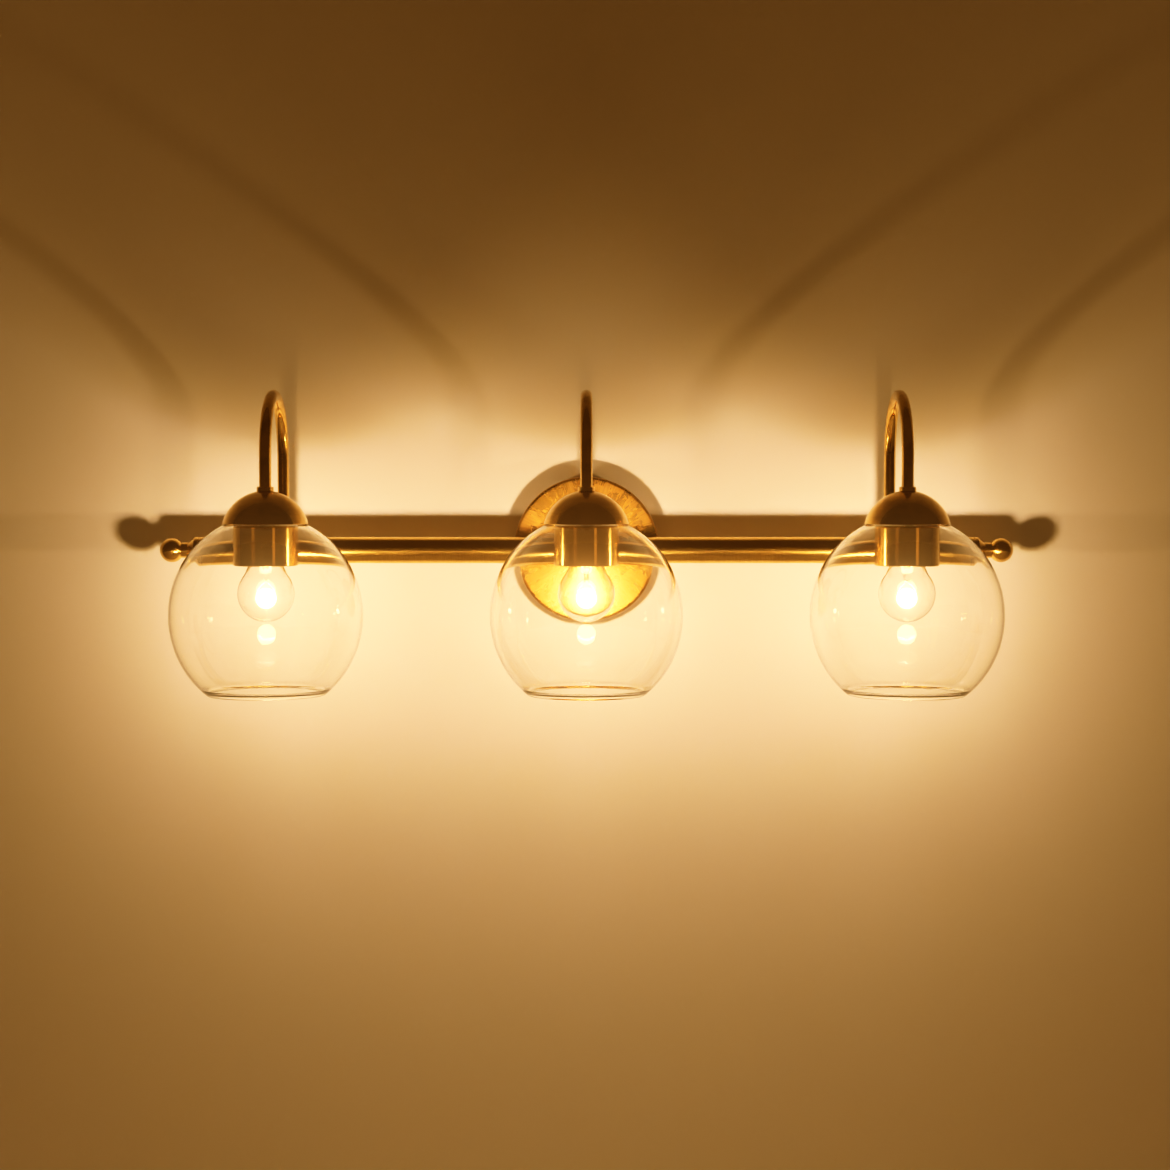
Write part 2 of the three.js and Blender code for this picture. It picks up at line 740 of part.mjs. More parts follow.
// Open globe cut off flat below, with a round hole on top for the lampholder.
function glassShade(lamp) {
  const z = -shadeCentre;
  const angleAt = (radius, sphere, sign) => sign * THREE.MathUtils.radToDeg(Math.acos(radius / sphere));
  const low = angleAt(mouthRadius, shadeRadius, -1);
  const high = angleAt(neckHoleRadius, shadeRadius, 1);
  const lowInner = angleAt(mouthRadius - shadeLip, shadeInner, -1);
  const highInner = angleAt(neckHoleRadius, shadeInner, 1);
  const outer = arc(0, z, shadeRadius, shadeRise, low, high, steps.glass);
  const inner = arc(0, z, shadeInner, shadeInnerRise, highInner, lowInner, steps.glass);
  return piece(`glass_shade_${lamp}`, turned([...outer, ...inner], sides.glass), clearGlass(0.3));
}

function shadeGasket(lamp) {
  const brim = neckHoleRadius + gasketInset;
  const profile = [
    point(gasketOuter, gasketBottomZ),
    point(gasketOuter, underGlass(gasketOuter)),
    point(brim, underGlass(brim)),
    point(gasketInner, underGlass(brim)),
    point(gasketInner, gasketBottomZ),
  ];
  return piece(`shade_gasket_${lamp}`, turned(profile, sides.medium), feltGrey());
}

// Threaded cup that clamps the glass against the dome and hides the lampholder.
function retainerCup(lamp) {
  const thread = holderRadius + slip;
  const outer = retainerRadius;
  const inner = outer - retainerWall;
  const top = retainerTopZ;
  const [lipIn, lipUp] = retainerLip;
  const profile = [
    point(outer - lipIn, -retainerBottom),
    point(outer, -retainerBottom + lipUp),
    point(outer, top - retainerEdge),
    point(outer - retainerEdge, top),
    point(thread, top),
    point(thread, top - retainerThreadLength),
    point(thread + retainerWall, top - retainerThreadLength),
    point(thread + retainerWall, top - retainerWall),
    point(inner, top - retainerWall - retainerSlope),
    point(inner, -retainerBottom),
  ];
  return piece(`retainer_cup_${lamp}`, turned(profile, sides.dome), antiqueBrass());
}

// ---------------------------------------------------------------- bulb

function bulbEnvelope(lamp) {
  const neck = bulbNeckRadius;
  const top = -bulbBaseBottom + bulbInBase;
  const round = (radius) => arc(0, -bulbCentre, radius, radius, bulbShoulderAngle, -90, steps.bulb);
  const profile = (shrink) => [
    ...bulbShoulder.map(([out, down]) => point(neck + out - shrink, -bulbBaseBottom - down)),
    ...round(bulbRadius - shrink).slice(0, -1),
    point(0, -bulbCentre - bulbRadius + shrink),
  ];
  const outer = [point(neck, top), ...profile(0)];
  const inner = [point(neck - bulbWall, top), ...profile(bulbWall)];
  const loop = [...outer.reverse(), ...inner];
  return piece(`bulb_glass_${lamp}`, turned(loop, sides.medium, false), clearGlass(0.35));
}

function bulbBase(lamp) {
  const bottom = -bulbBaseBottom;
  const top = bottom + bulbBaseHeight;
  const r = bulbBaseRadius;
  const tip = bulbTipDiameter / 2;
  const inner = bulbNeckRadius + seat;
  const loop = [
    point(inner, bottom),
    point(r, bottom),
    point(r, top - bulbBaseTaper),
    point(r - bulbBaseShoulder, top - 1),
    point(tip + bulbInsulatorRim, top + bulbInsulatorRim),
    point(tip, bulbTipZ),
    point(0, bulbTipZ),
    point(0, top - bulbBaseTaper),
    point(inner, top - 2 * bulbBaseTaper),
  ];
  return piece(`bulb_base_${lamp}`, turned(loop, sides.medium), nickel());
}

// Glass mount with two wires and the glowing filament between them.
function bulbFilament(lamp) {
  const top = -bulbBaseBottom + mountInBase;
  const foot = -bulbCentre + bulbRadius * mountFoot;
  const low = -bulbCentre - bulbRadius * filamentDrop;
  const spread = filamentSpread;
  const wire = filamentWire;
  const mount = rod(mountDiameter / 2, foot, top, sides.tiny);
  const coil = rod(filamentDiameter / 2, -spread, spread, sides.tiny);
  const bridge = coil.rotateY(Math.PI / 2).translate(0, 0, low);
  const cross = new THREE.BoxGeometry(2 * spread + wire, wire, wire).translate(0, 0, foot);
  const tall = foot - low + wire;
  const post = (x) => new THREE.BoxGeometry(wire, wire, tall).translate(x, 0, (foot + low) / 2);
  const geometry = join(mount, cross, post(-spread), post(spread), bridge);
  return piece(`bulb_filament_${lamp}`, geometry, filamentGlow());
}

// ---------------------------------------------------------------- assembly

function lampHead(lamp) {
  const group = new THREE.Group();
  group.add(domeCap(lamp), checkRing(lamp), domeLocknut(lamp));
  group.add(lampholderBody(lamp), screwShell(lamp), centreContact(lamp));
  group.add(glassShade(lamp), shadeGasket(lamp), retainerCup(lamp));
  group.add(bulbEnvelope(lamp), bulbBase(lamp), bulbFilament(lamp));
  group.position.set(0, lampY, domeRimHeight);
  return group;
}

function lampArm(lamp, index) {
  const group = new THREE.Group();
  group.add(armTube(lamp), armBaseCollar(lamp), lampHead(lamp));
  group.position.x = (index - 1) * lampSpacing;
  return group;
}

const vanityLight = new THREE.Group();
vanityLight.name = "vanity_light_bar";
vanityLight.add(wallMount(), stemHardware(), bar());
lampNames.forEach((lamp, index) => vanityLight.add(lampArm(lamp, index), lampLead(lamp, index)));

export default vanityLight;
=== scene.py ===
"""Vanity light bar: a round wall canopy carries a tube with ball ends, and three goosenecks hang
domed caps, open glass globes and lit bulbs from it.

Pieces are drawn in millimetres in a frame of their own, whose Z is the axis they were turned about,
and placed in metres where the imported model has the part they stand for.
"""

import math

import bmesh
import bpy
from mathutils import Matrix, Vector


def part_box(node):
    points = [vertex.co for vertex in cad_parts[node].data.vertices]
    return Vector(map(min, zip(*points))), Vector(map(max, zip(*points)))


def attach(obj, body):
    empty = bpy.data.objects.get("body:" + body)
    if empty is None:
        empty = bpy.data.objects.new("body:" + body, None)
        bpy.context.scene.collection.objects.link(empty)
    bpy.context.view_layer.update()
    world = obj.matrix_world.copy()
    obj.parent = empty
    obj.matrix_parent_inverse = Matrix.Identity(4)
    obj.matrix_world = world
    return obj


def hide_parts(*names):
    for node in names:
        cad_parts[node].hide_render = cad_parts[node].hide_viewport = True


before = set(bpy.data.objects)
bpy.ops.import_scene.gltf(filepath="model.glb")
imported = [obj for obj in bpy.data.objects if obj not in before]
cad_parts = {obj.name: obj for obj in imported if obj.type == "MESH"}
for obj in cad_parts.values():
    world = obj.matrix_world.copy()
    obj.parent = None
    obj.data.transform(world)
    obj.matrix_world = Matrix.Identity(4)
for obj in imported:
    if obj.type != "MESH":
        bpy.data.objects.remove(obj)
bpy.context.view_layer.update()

# ---------------------------------------------------------------- sizes in millimetres

MM = 0.001
LAMPS = ("left", "centre", "right")

CANOPY_RADIUS = 61.0
CANOPY_DEPTH = 20.0
CANOPY_WALL = 1.2
CANOPY_EDGE = 2.6
CANOPY_LIP = 0.35
CANOPY_SCREW_HEIGHT = 10.0
SCREW_HEAD_RADIUS = 3.5
SCREW_HEAD_DEPTH = 2.6
SCREW_SHANK_RADIUS = 1.7
SCREW_SHANK_LENGTH = 8.6

NIPPLE_RADIUS = 5.0
NIPPLE_BORE = 3.5
FINE_PITCH = 1.0
HOLE_SLACK = 0.3
WASHER_RADIUS = 9.0
STEM_NUT_FLATS = 14.0
DOME_NUT_FLATS = 12.0
NUT_THICKNESS = 3.4
NUT_CHAMFER = 0.55
STEM_RADIUS = 9.0
FLANGE_RADIUS = 15.0
FLANGE_DEPTH = 2.2
SADDLE_START = 7.5

BAR_RADIUS = 11.1
BAR_BORE = 9.9
BAR_END = 322.1
COLLAR_START = 322.4
CONE_START = 325.6
CONE_END = 331.2
NECK_END = 336.6
NECK_RADIUS = 6.5
BALL_CENTRE = 344.9
BALL_RADIUS = 10.1
SPIGOT_LENGTH = 8
STUD_RADIUS = 3.0
STUD_LENGTH = 7.4
STUD_HOLE_RADIUS = 3.3
STUD_HOLE_DEPTH = 7.6

ARM_RADIUS = 4.75
ARM_BORE = 3.95
ARM_REACH = 99.0
ARM_CROWN_CENTRE = 52.95
ARM_TIP = 10.2
ARM_FOOT = -16.9
RING_RADIUS = 6.75
RING_HEIGHT = 3.3
COLLAR_TOP = 16.1

DOME_RADIUS = 33.6
DOME_HEIGHT = 26.2
DOME_WALL = 1.0
CAP_RADIUS = (DOME_RADIUS**2 + DOME_HEIGHT**2) / (2 * DOME_HEIGHT)
CAP_CENTRE = DOME_HEIGHT - CAP_RADIUS
HOLDER_RADIUS = 17.0
HOLDER_TOP = 17.2
HOLDER_FLOOR = 9.9
HOLDER_CEILING = 4.4
HOLDER_BOTTOM = -25.8
HOLDER_BORE = 14.2
HOLDER_CROWN = 8.05
HOLDER_TUBE_BORE = 5.05
WIRE_HOLE_RADIUS = 2.5
SHELL_CREST = 13.55
SHELL_WALL = 0.35
SHELL_LIP = 9.6
SHELL_TOP = 0.2
SHELL_BOTTOM = -23.6
CUP_RADIUS = 25.5
CUP_BOTTOM = -32.8
CUP_TOP = -1.9
CUP_WALL = 1.2
CUP_THREAD_LENGTH = 11
GASKET_INNER = 20.0
GASKET_OUTER = 25.0
GASKET_BOTTOM = -1.6
GASKET_TOP = 0.4

GLOBE_RADIUS = 76.0
GLOBE_RISE = 79.04
GLOBE_WALL = 1.6
GLOBE_CENTRE = -72.0
GLOBE_NECK = 21.5
GLOBE_MOUTH = 46.6
GLOBE_LIP_HEIGHT = 4.8
GLOBE_LIP_SWELL = 1.1

BULB_RADIUS = 22.5
BULB_CENTRE = -54.8
BULB_WALL = 0.7
BULB_NECK = 11.0
BASE_RADIUS = 12.8
BASE_BOTTOM = -25.3
BASE_TOP = -2.3
BASE_TIP = 1.7
EDISON_PITCH = 3.63
SCREW_PITCH = 0.7
FILAMENT_SPREAD = 7.0
FILAMENT_LOW = BULB_CENTRE - 2.0

LEAD_RADIUS = 1.2
LEAD_BEND = 6.0
LEAD_SPREAD = 1.4
LEAD_TIP = 29.2
LEAD_EXIT = (-14.0, -10.8)
STRAND_RADIUS = 0.75

# ---------------------------------------------------------------- places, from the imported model


def middle(node):
    low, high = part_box(node)
    return (low + high) / 2


bar_axis = middle("bar_tube")
canopy_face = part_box("canopy")[0].y
rim_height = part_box("dome_cap_centre")[0].z
lamp_place = {lamp: middle(f"dome_cap_{lamp}").xy.to_3d() + Vector((0, 0, rim_height)) for lamp in LAMPS}

FACING_ROOM = Matrix.Rotation(math.pi / 2, 4, "X")
ALONG_BAR = Matrix.Translation((0, bar_axis.y, bar_axis.z)) @ Matrix.Rotation(math.pi / 2, 4, "Y")


def lamp_frame(lamp):
    return Matrix.Translation(lamp_place[lamp])


# ---------------------------------------------------------------- mesh helpers


def arc(centre, radii, start, end, count):
    """Points on an ellipse about centre, from one angle in degrees to another."""
    turns = [math.radians(start + (end - start) * i / count) for i in range(count + 1)]
    return [(centre[0] + radii[0] * math.cos(t), centre[1] + radii[1] * math.sin(t)) for t in turns]


def rounded(corners, steps=4, closed=True):
    """Points from corners (r, z, fillet): a fillet becomes a small arc with a support point at each side."""
    count = len(corners)
    points = []
    for i, corner in enumerate(corners):
        here = Vector(corner[:2])
        fillet = corner[2] if len(corner) > 2 else 0
        inner = closed or 0 < i < count - 1
        if not fillet or not inner:
            points.append((here.x, here.y))
            continue
        before = Vector(corners[i - 1][:2]) - here
        after = Vector(corners[(i + 1) % count][:2]) - here
        half = before.angle(after) / 2
        room = 0.45 * min(before.length, after.length)
        tangent = min(fillet / math.tan(half), room)
        radius = tangent * math.tan(half)
        before.normalize()
        after.normalize()
        centre = here + (before + after).normalized() * (radius / math.sin(half))
        support = min(tangent * 1.5, room * 1.05)
        points.append(tuple(here + before * support))
        first = here + before * tangent - centre
        last = here + after * tangent - centre
        sweep = first.angle_signed(last)
        for k in range(steps + 1):
            spoke = first.copy()
            spoke.rotate(Matrix.Rotation(-sweep * k / steps, 2))
            points.append(tuple(centre + spoke))
        points.append(tuple(here + after * support))
    return points


def linked(name, data):
    obj = bpy.data.objects.new(name, data)
    bpy.context.scene.collection.objects.link(obj)
    return obj


def coated(obj, material):
    obj.data.materials.clear()
    obj.data.materials.append(material)


def finished(name, build, smooth_angle=35):
    """An object made from a bmesh, with outward normals and smooth faces."""
    bmesh.ops.recalc_face_normals(build, faces=build.faces)
    mesh = bpy.data.meshes.new(name)
    build.to_mesh(mesh)
    build.free()
    mesh.shade_smooth()
    mesh.set_sharp_from_angle(angle=math.radians(smooth_angle))
    return linked(name, mesh)


def turned(name, profile, segments=96, closed=True, pitch=None, smooth_angle=35):
    """A profile of (radius, height[, thread depth]) points turned about Z."""
    build = bmesh.new()
    rows = []
    for point in profile:
        radius, height = point[:2]
        depth = point[2] if len(point) > 2 else 0
        if radius < 1e-6:
            rows.append([build.verts.new((0, 0, height * MM))])
            continue
        row = []
        for i in range(segments):
            angle = 2 * math.pi * i / segments
            wave = 0.5 - 0.5 * math.cos(2 * math.pi * (height / pitch) - angle) if depth else 0
            r = (radius - depth * wave) * MM
            row.append(build.verts.new((r * math.cos(angle), r * math.sin(angle), height * MM)))
        rows.append(row)
    pairs = list(zip(rows, rows[1:]))
    if closed:
        pairs.append((rows[-1], rows[0]))
    for low, high in pairs:
        join_rows(build, low, high)
    return finished(name, build, smooth_angle)


def join_rows(build, low, high):
    """Faces between two rings of vertices; a ring may be a single point."""
    count = max(len(low), len(high))
    if count == 1:
        return
    for i in range(count):
        j = (i + 1) % count
        if len(low) == 1:
            build.faces.new((low[0], high[j], high[i]))
        elif len(high) == 1:
            build.faces.new((low[i], low[j], high[0]))
        else:
            build.faces.new((low[i], low[j], high[j], high[i]))


def thread(radius, start, end, depth, pitch, fade=1.0, rows_per_turn=10):
    """Rows of a threaded side, its depth fading out at both ends."""
    count = max(4, int(abs(end - start) / pitch * rows_per_turn))
    rows = []
    for i in range(count + 1):
        t = i / count
        height = start + (end - start) * t
        ends = min(abs(height - start), abs(end - height)) / (fade * pitch)
        rows.append((radius, height, depth * min(1.0, ends) + 1e-6))
    return rows


def sweep_frames(path):
    """A (place, side, up) triple at each point of a path, without twist."""
    frames = []
    side = None
    for i, place in enumerate(path):
        ahead = (path[min(i + 1, len(path) - 1)] - path[max(i - 1, 0)]).normalized()
        if side is None:
            side = ahead.orthogonal().normalized()
        side = (side - ahead * side.dot(ahead)).normalized()
        frames.append((place, side, ahead.cross(side)))
    return frames


def swept(name, path, radius, bore=0.0, segments=32):
    """A round rod or tube along a path of points in millimetres."""
    build = bmesh.new()

    def ring(place, side, up, r):
        spokes = [2 * math.pi * i / segments for i in range(segments)]
        return [build.verts.new((place + (side * math.cos(a) + up * math.sin(a)) * r) * MM) for a in spokes]

    frames = sweep_frames(path)
    outer = [ring(*f, radius) for f in frames]
    for low, high in zip(outer, outer[1:]):
        join_rows(build, low, high)
    if bore:
        inner = [ring(*f, bore) for f in frames]
        for low, high in zip(inner, inner[1:]):
            join_rows(build, low, high)
        join_rows(build, outer[0], inner[0])
        join_rows(build, outer[-1], inner[-1])
    else:
        for end, place in ((outer[0], path[0]), (outer[-1], path[-1])):
            join_rows(build, [build.verts.new(place * MM)], end)
    return finished(name, build, 50)


def applied(obj):
    """Replaces an object's mesh by what its modifiers make of it."""
    graph = bpy.context.evaluated_depsgraph_get()
    mesh = bpy.data.meshes.new_from_object(obj.evaluated_get(graph))
    obj.modifiers.clear()
    obj.data = mesh
    return obj


def combined(obj, tools, operation="DIFFERENCE"):
    """Cuts tools from an object, or keeps what they share, and removes them."""
    for tool in tools:
        step = obj.modifiers.new(operation, "BOOLEAN")
        step.operation = operation
        step.solver = "EXACT"
        step.object = tool
    applied(obj)
    obj.data.shade_smooth()
    obj.data.set_sharp_from_angle(angle=math.radians(35))
    for tool in tools:
        bpy.data.objects.remove(tool)
    return obj


def cylinder_tool(radius, start, end, matrix, segments=96):
    profile = [(0, start), (radius, start), (radius, end), (0, end)]
    tool = turned("tool", profile, segments, closed=False)
    tool.data.transform(matrix)
    return tool


def fitted(obj, material, body, slot, matrix, *nodes):
    """Puts a piece in its place, on its body, instead of the nodes that it stands for."""
    obj.matrix_world = matrix
    coated(obj, material)
    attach(obj, body)
    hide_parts(*nodes)
    return obj


# ---------------------------------------------------------------- materials


class Shader:
    """One material, built node by node round its Principled shader."""

    def __init__(self, name):
        self.material = bpy.data.materials.new(name)
        self.material.use_nodes = True
        self.tree = self.material.node_tree
        self.surface = self.tree.nodes["Principled BSDF"]
        self.output = self.tree.nodes["Material Output"]

    def add(self, kind, settings=None, **inputs):
        node = self.tree.nodes.new(kind)
        for key, value in (settings or {}).items():
            setattr(node, key, value)
        for key, value in inputs.items():
            self.feed(node.inputs[key.replace("_", " ")], value)
        return node

    def feed(self, socket, value):
        if isinstance(value, bpy.types.NodeSocket):
            self.tree.links.new(value, socket)
        else:
            socket.default_value = value

    def set(self, **inputs):
        for key, value in inputs.items():
            self.feed(self.surface.inputs[key.replace("_", " ")], value)

    def place(self, scale, offset=(0, 0, 0)):
        coords = self.add("ShaderNodeTexCoord")
        mapping = self.add("ShaderNodeMapping", Vector=coords.outputs["Object"], Scale=scale, Location=offset)
        return mapping.outputs["Vector"]

    def round_place(self, around, along, offset):
        """Coordinates round the piece's Z axis, with one scale around it and one along it."""
        coords = self.add("ShaderNodeTexCoord")
        split = self.add("ShaderNodeSeparateXYZ", Vector=coords.outputs["Object"])
        radius = self.add("ShaderNodeVectorMath", {"operation": "LENGTH"})
        flat = self.add("ShaderNodeCombineXYZ", X=split.outputs["X"], Y=split.outputs["Y"])
        self.tree.links.new(flat.outputs["Vector"], radius.inputs[0])
        direction = self.add("ShaderNodeVectorMath", {"operation": "NORMALIZE"})
        self.tree.links.new(flat.outputs["Vector"], direction.inputs[0])
        spread = self.add("ShaderNodeMapping", Vector=direction.outputs["Vector"], Scale=(around,) * 3)
        depth = self.math("ADD", radius.outputs["Value"], split.outputs["Z"])
        height = self.math("MULTIPLY", depth, along)
        lift = self.add("ShaderNodeCombineXYZ", Z=height)
        total = self.add("ShaderNodeVectorMath", {"operation": "ADD"})
        self.tree.links.new(spread.outputs["Vector"], total.inputs[0])
        self.tree.links.new(lift.outputs["Vector"], total.inputs[1])
        moved = self.add("ShaderNodeMapping", Vector=total.outputs["Vector"], Location=offset)
        return moved.outputs["Vector"]

    def math(self, operation, a, b=0.0):
        node = self.add("ShaderNodeMath", {"operation": operation})
        self.feed(node.inputs[0], a)
        self.feed(node.inputs[1], b)
        return node.outputs["Value"]

    def noise(self, vector, scale, detail=3.0, roughness=0.5, distortion=0.0):
        node = self.add(
            "ShaderNodeTexNoise",
            Vector=vector,
            Scale=scale,
            Detail=detail,
            Roughness=roughness,
            Distortion=distortion,
        )
        return node.outputs["Fac"]

    def ranged(self, value, low, high, to_low, to_high, smooth=False):
        settings = {"interpolation_type": "SMOOTHSTEP"} if smooth else None
        node = self.add("ShaderNodeMapRange", settings, Value=value)
        for key, number in zip(("From Min", "From Max", "To Min", "To Max"), (low, high, to_low, to_high)):
            node.inputs[key].default_value = number
        return node.outputs["Result"]

    def mix(self, factor, a, b, blend="MIX"):
        node = self.add("ShaderNodeMix", {"data_type": "RGBA", "blend_type": blend})
        self.feed(node.inputs["Factor"], factor)
        for index, colour in ((6, a), (7, b)):
            is_socket = isinstance(colour, bpy.types.NodeSocket)
            self.feed(node.inputs[index], colour if is_socket else (*colour, 1))
        return node.outputs[2]

    def bump(self, height, strength, distance):
        node = self.add("ShaderNodeBump", Height=height, Strength=strength, Distance=distance)
        return node.outputs["Normal"]

    def give_way(self, factor, other):
        """Shows another shader where the factor is one."""
        choice = self.add("ShaderNodeMixShader", Fac=factor)
        self.tree.links.new(self.surface.outputs["BSDF"], choice.inputs[1])
        self.tree.links.new(other.outputs["BSDF"], choice.inputs[2])
        self.tree.links.new(choice.outputs["Shader"], self.output.inputs["Surface"])


GOLD = (0.86, 0.57, 0.20)
DEEP_GOLD = (0.66, 0.40, 0.12)
AMBER = (0.66, 0.36, 0.075)
UMBER = (0.22, 0.11, 0.035)
ACROSS_GROOVES = 0.25


def antique_brass(name, grain, mottle, seed, anisotropy, roughness, tones=(DEEP_GOLD, GOLD), wear=0.0):
    """Fine-turned brass under glossy lacquer, darkened in clouds.

    The grain runs 'round' the piece's Z axis, 'along' it, or is 'radial' on a flat face.
    """
    shade = Shader(name)
    offset = (seed * 3.7, seed * 1.9, seed * 5.3)
    if grain == "round":
        streak = shade.noise(shade.round_place(0.6, 900.0, offset), 1.6, 5.0, 0.65)
    elif grain == "radial":
        streak = shade.noise(shade.round_place(9.0, 14.0, offset), 2.4, 6.0, 0.68, 0.4)
    else:
        streak = shade.noise(shade.place((500.0, 500.0, 12.0), offset), 1.0, 4.0, 0.6)
    cloud = shade.noise(shade.place((1, 1, 1), offset), 46.0, 4.0, 0.6, 0.7)
    speck = shade.noise(shade.place((1, 1, 1), offset), 420.0, 3.0, 0.6)
    patina = shade.math("MULTIPLY", shade.ranged(cloud, 0.42, 0.66, 0.0, 1.0, True), mottle)
    tone = shade.mix(shade.ranged(streak, 0.3, 0.7, 0.25, 1.0), *tones)
    aged = shade.mix(shade.math("MULTIPLY", patina, 0.6), tone, UMBER)
    if wear:
        scratch = shade.noise(shade.round_place(24.0, 5.0, offset), 3.0, 3.0, 0.5)
        aged = shade.mix(shade.ranged(scratch, 0.3, 0.75, 0.0, wear, True), aged, UMBER)
    freckled = shade.mix(shade.ranged(speck, 0.62, 0.76, 0.0, 0.25), aged, UMBER)
    grainy = shade.ranged(streak, 0.3, 0.7, roughness + 0.03, roughness - 0.03)
    shade.set(
        Base_Color=freckled,
        Metallic=1.0,
        Roughness=shade.math("ADD", grainy, shade.math("MULTIPLY", patina, 0.08)),
        Coat_Weight=0.25,
        Coat_Roughness=0.08,
        Anisotropic=anisotropy,
        Normal=shade.bump(streak, 0.02, 0.0001),
    )
    if anisotropy:
        tangent = shade.add("ShaderNodeTangent", {"direction_type": "RADIAL", "axis": "Z"})
        shade.set(Tangent=tangent.outputs["Tangent"], Anisotropic_Rotation=ACROSS_GROOVES)
    return shade.material


def plated_steel(name, colour, roughness=0.36):
    shade = Shader(name)
    grain = shade.noise(shade.place((1, 1, 1)), 900.0, 3.0, 0.6)
    spangle = shade.noise(shade.place((1, 1, 1)), 120.0, 4.0, 0.6, 1.2)
    dark = tuple(c * 0.62 for c in colour)
    shade.set(
        Base_Color=shade.mix(shade.ranged(spangle, 0.35, 0.68, 0.0, 1.0), dark, colour),
        Metallic=1.0,
        Roughness=shade.ranged(grain, 0.3, 0.7, roughness - 0.08, roughness + 0.1),
        Normal=shade.bump(grain, 0.1, 0.0001),
    )
    return shade.material


def bright_plate(name, colour, roughness):
    """Thin stamped metal, bright, with a little handling wear."""
    shade = Shader(name)
    wear = shade.noise(shade.place((1, 1, 1)), 160.0, 4.0, 0.6, 0.8)
    dull_colour = tuple(c * 0.6 for c in colour)
    shade.set(
        Base_Color=shade.mix(shade.ranged(wear, 0.5, 0.75, 0.0, 0.8), colour, dull_colour),
        Metallic=1.0,
        Roughness=shade.ranged(wear, 0.3, 0.75, roughness, roughness + 0.16),
        Normal=shade.bump(wear, 0.05, 0.0002),
    )
    return shade.material


def moulded(name, colour, roughness, grain_scale=700.0, bump=0.12):
    """Moulded plastic, rubber or ceramic with a fine skin."""
    shade = Shader(name)
    skin = shade.noise(shade.place((1, 1, 1)), grain_scale, 3.0, 0.6)
    cloud = shade.noise(shade.place((1, 1, 1)), 60.0, 3.0, 0.5)
    light = tuple(min(1.0, c * 1.25 + 0.004) for c in colour)
    shade.set(
        Base_Color=shade.mix(shade.ranged(cloud, 0.35, 0.65, 0.0, 1.0), colour, light),
        Roughness=shade.ranged(skin, 0.3, 0.7, roughness - 0.07, roughness + 0.08),
        Normal=shade.bump(skin, bump, 0.00015),
    )
    return shade.material


def clear_glass(name, tint, ripple, shadow=0.97):
    """Blown glass: faint waves and a trace of dust, and lamps shine through it."""
    shade = Shader(name)
    wave = shade.noise(shade.place((1, 1, 1)), 38.0, 1.0, 0.4)
    dust = shade.noise(shade.place((1, 1, 1)), 90.0, 4.0, 0.6)
    shade.set(
        Base_Color=(*tint, 1),
        Roughness=shade.ranged(dust, 0.55, 0.85, 0.0, 0.03),
        IOR=1.47,
        Transmission_Weight=1.0,
        Normal=shade.bump(wave, ripple, 0.0012),
    )
    path = shade.add("ShaderNodeLightPath")
    through = shade.add("ShaderNodeBsdfTransparent", Color=(shadow, shadow, shadow, 1))
    shade.give_way(path.outputs["Is Shadow Ray"], through)
    return shade.material


def glowing(name, colour, strength):
    """White-hot wire, a little cooler in places."""
    shade = Shader(name)
    heat = shade.noise(shade.place((1, 1, 1)), 300.0, 2.0, 0.5)
    cool = (colour[0], colour[1] * 0.82, colour[2] * 0.6)
    shade.set(
        Base_Color=(0.2, 0.18, 0.16, 1),
        Roughness=0.5,
        Emission_Color=shade.mix(shade.ranged(heat, 0.35, 0.65, 0.0, 1.0), cool, colour),
        Emission_Strength=strength,
    )
    return shade.material


brass_round = [antique_brass(f"brass_turned_{i}", "round", 0.5, i, 0.85, 0.15) for i in range(3)]
brass_face = antique_brass("brass_canopy", "radial", 0.7, 4, 0.5, 0.26, (UMBER, AMBER), 0.45)
brass_tube = antique_brass("brass_tube", "round", 0.3, 5, 0.8, 0.17)
brass_arm = [antique_brass(f"brass_arm_{i}", "along", 0.9, i, 0.0, 0.08) for i in range(3)]
zinc = plated_steel("zinc_plate", (0.66, 0.67, 0.66))
green_steel = plated_steel("green_dyed_steel", (0.10, 0.36, 0.14), 0.4)
stamped_brass = bright_plate("stamped_brass", (0.78, 0.57, 0.25), 0.22)
nickel = bright_plate("nickel_plate", (0.78, 0.75, 0.70), 0.16)
solder = plated_steel("solder", (0.62, 0.62, 0.62), 0.4)
copper = bright_plate("copper_strands", (0.82, 0.42, 0.24), 0.3)
phenolic = moulded("black_phenolic", (0.018, 0.016, 0.015), 0.42)
insulator = moulded("black_glass_insulator", (0.02, 0.017, 0.022), 0.16, 300.0, 0.03)
silicone = moulded("pale_silicone", (0.68, 0.65, 0.60), 0.55)
insulation = moulded("wire_insulation", (0.76, 0.73, 0.66), 0.4, 500.0, 0.06)
globe_glass = clear_glass("globe_glass", (1.0, 0.995, 0.98), 0.05)
bulb_glass = clear_glass("bulb_glass", (1.0, 1.0, 0.99), 0.02, 0.99)
hot_wire = glowing("hot_filament", (1.0, 0.74, 0.42), 1500.0)

# ---------------------------------------------------------------- canopy and its fixings


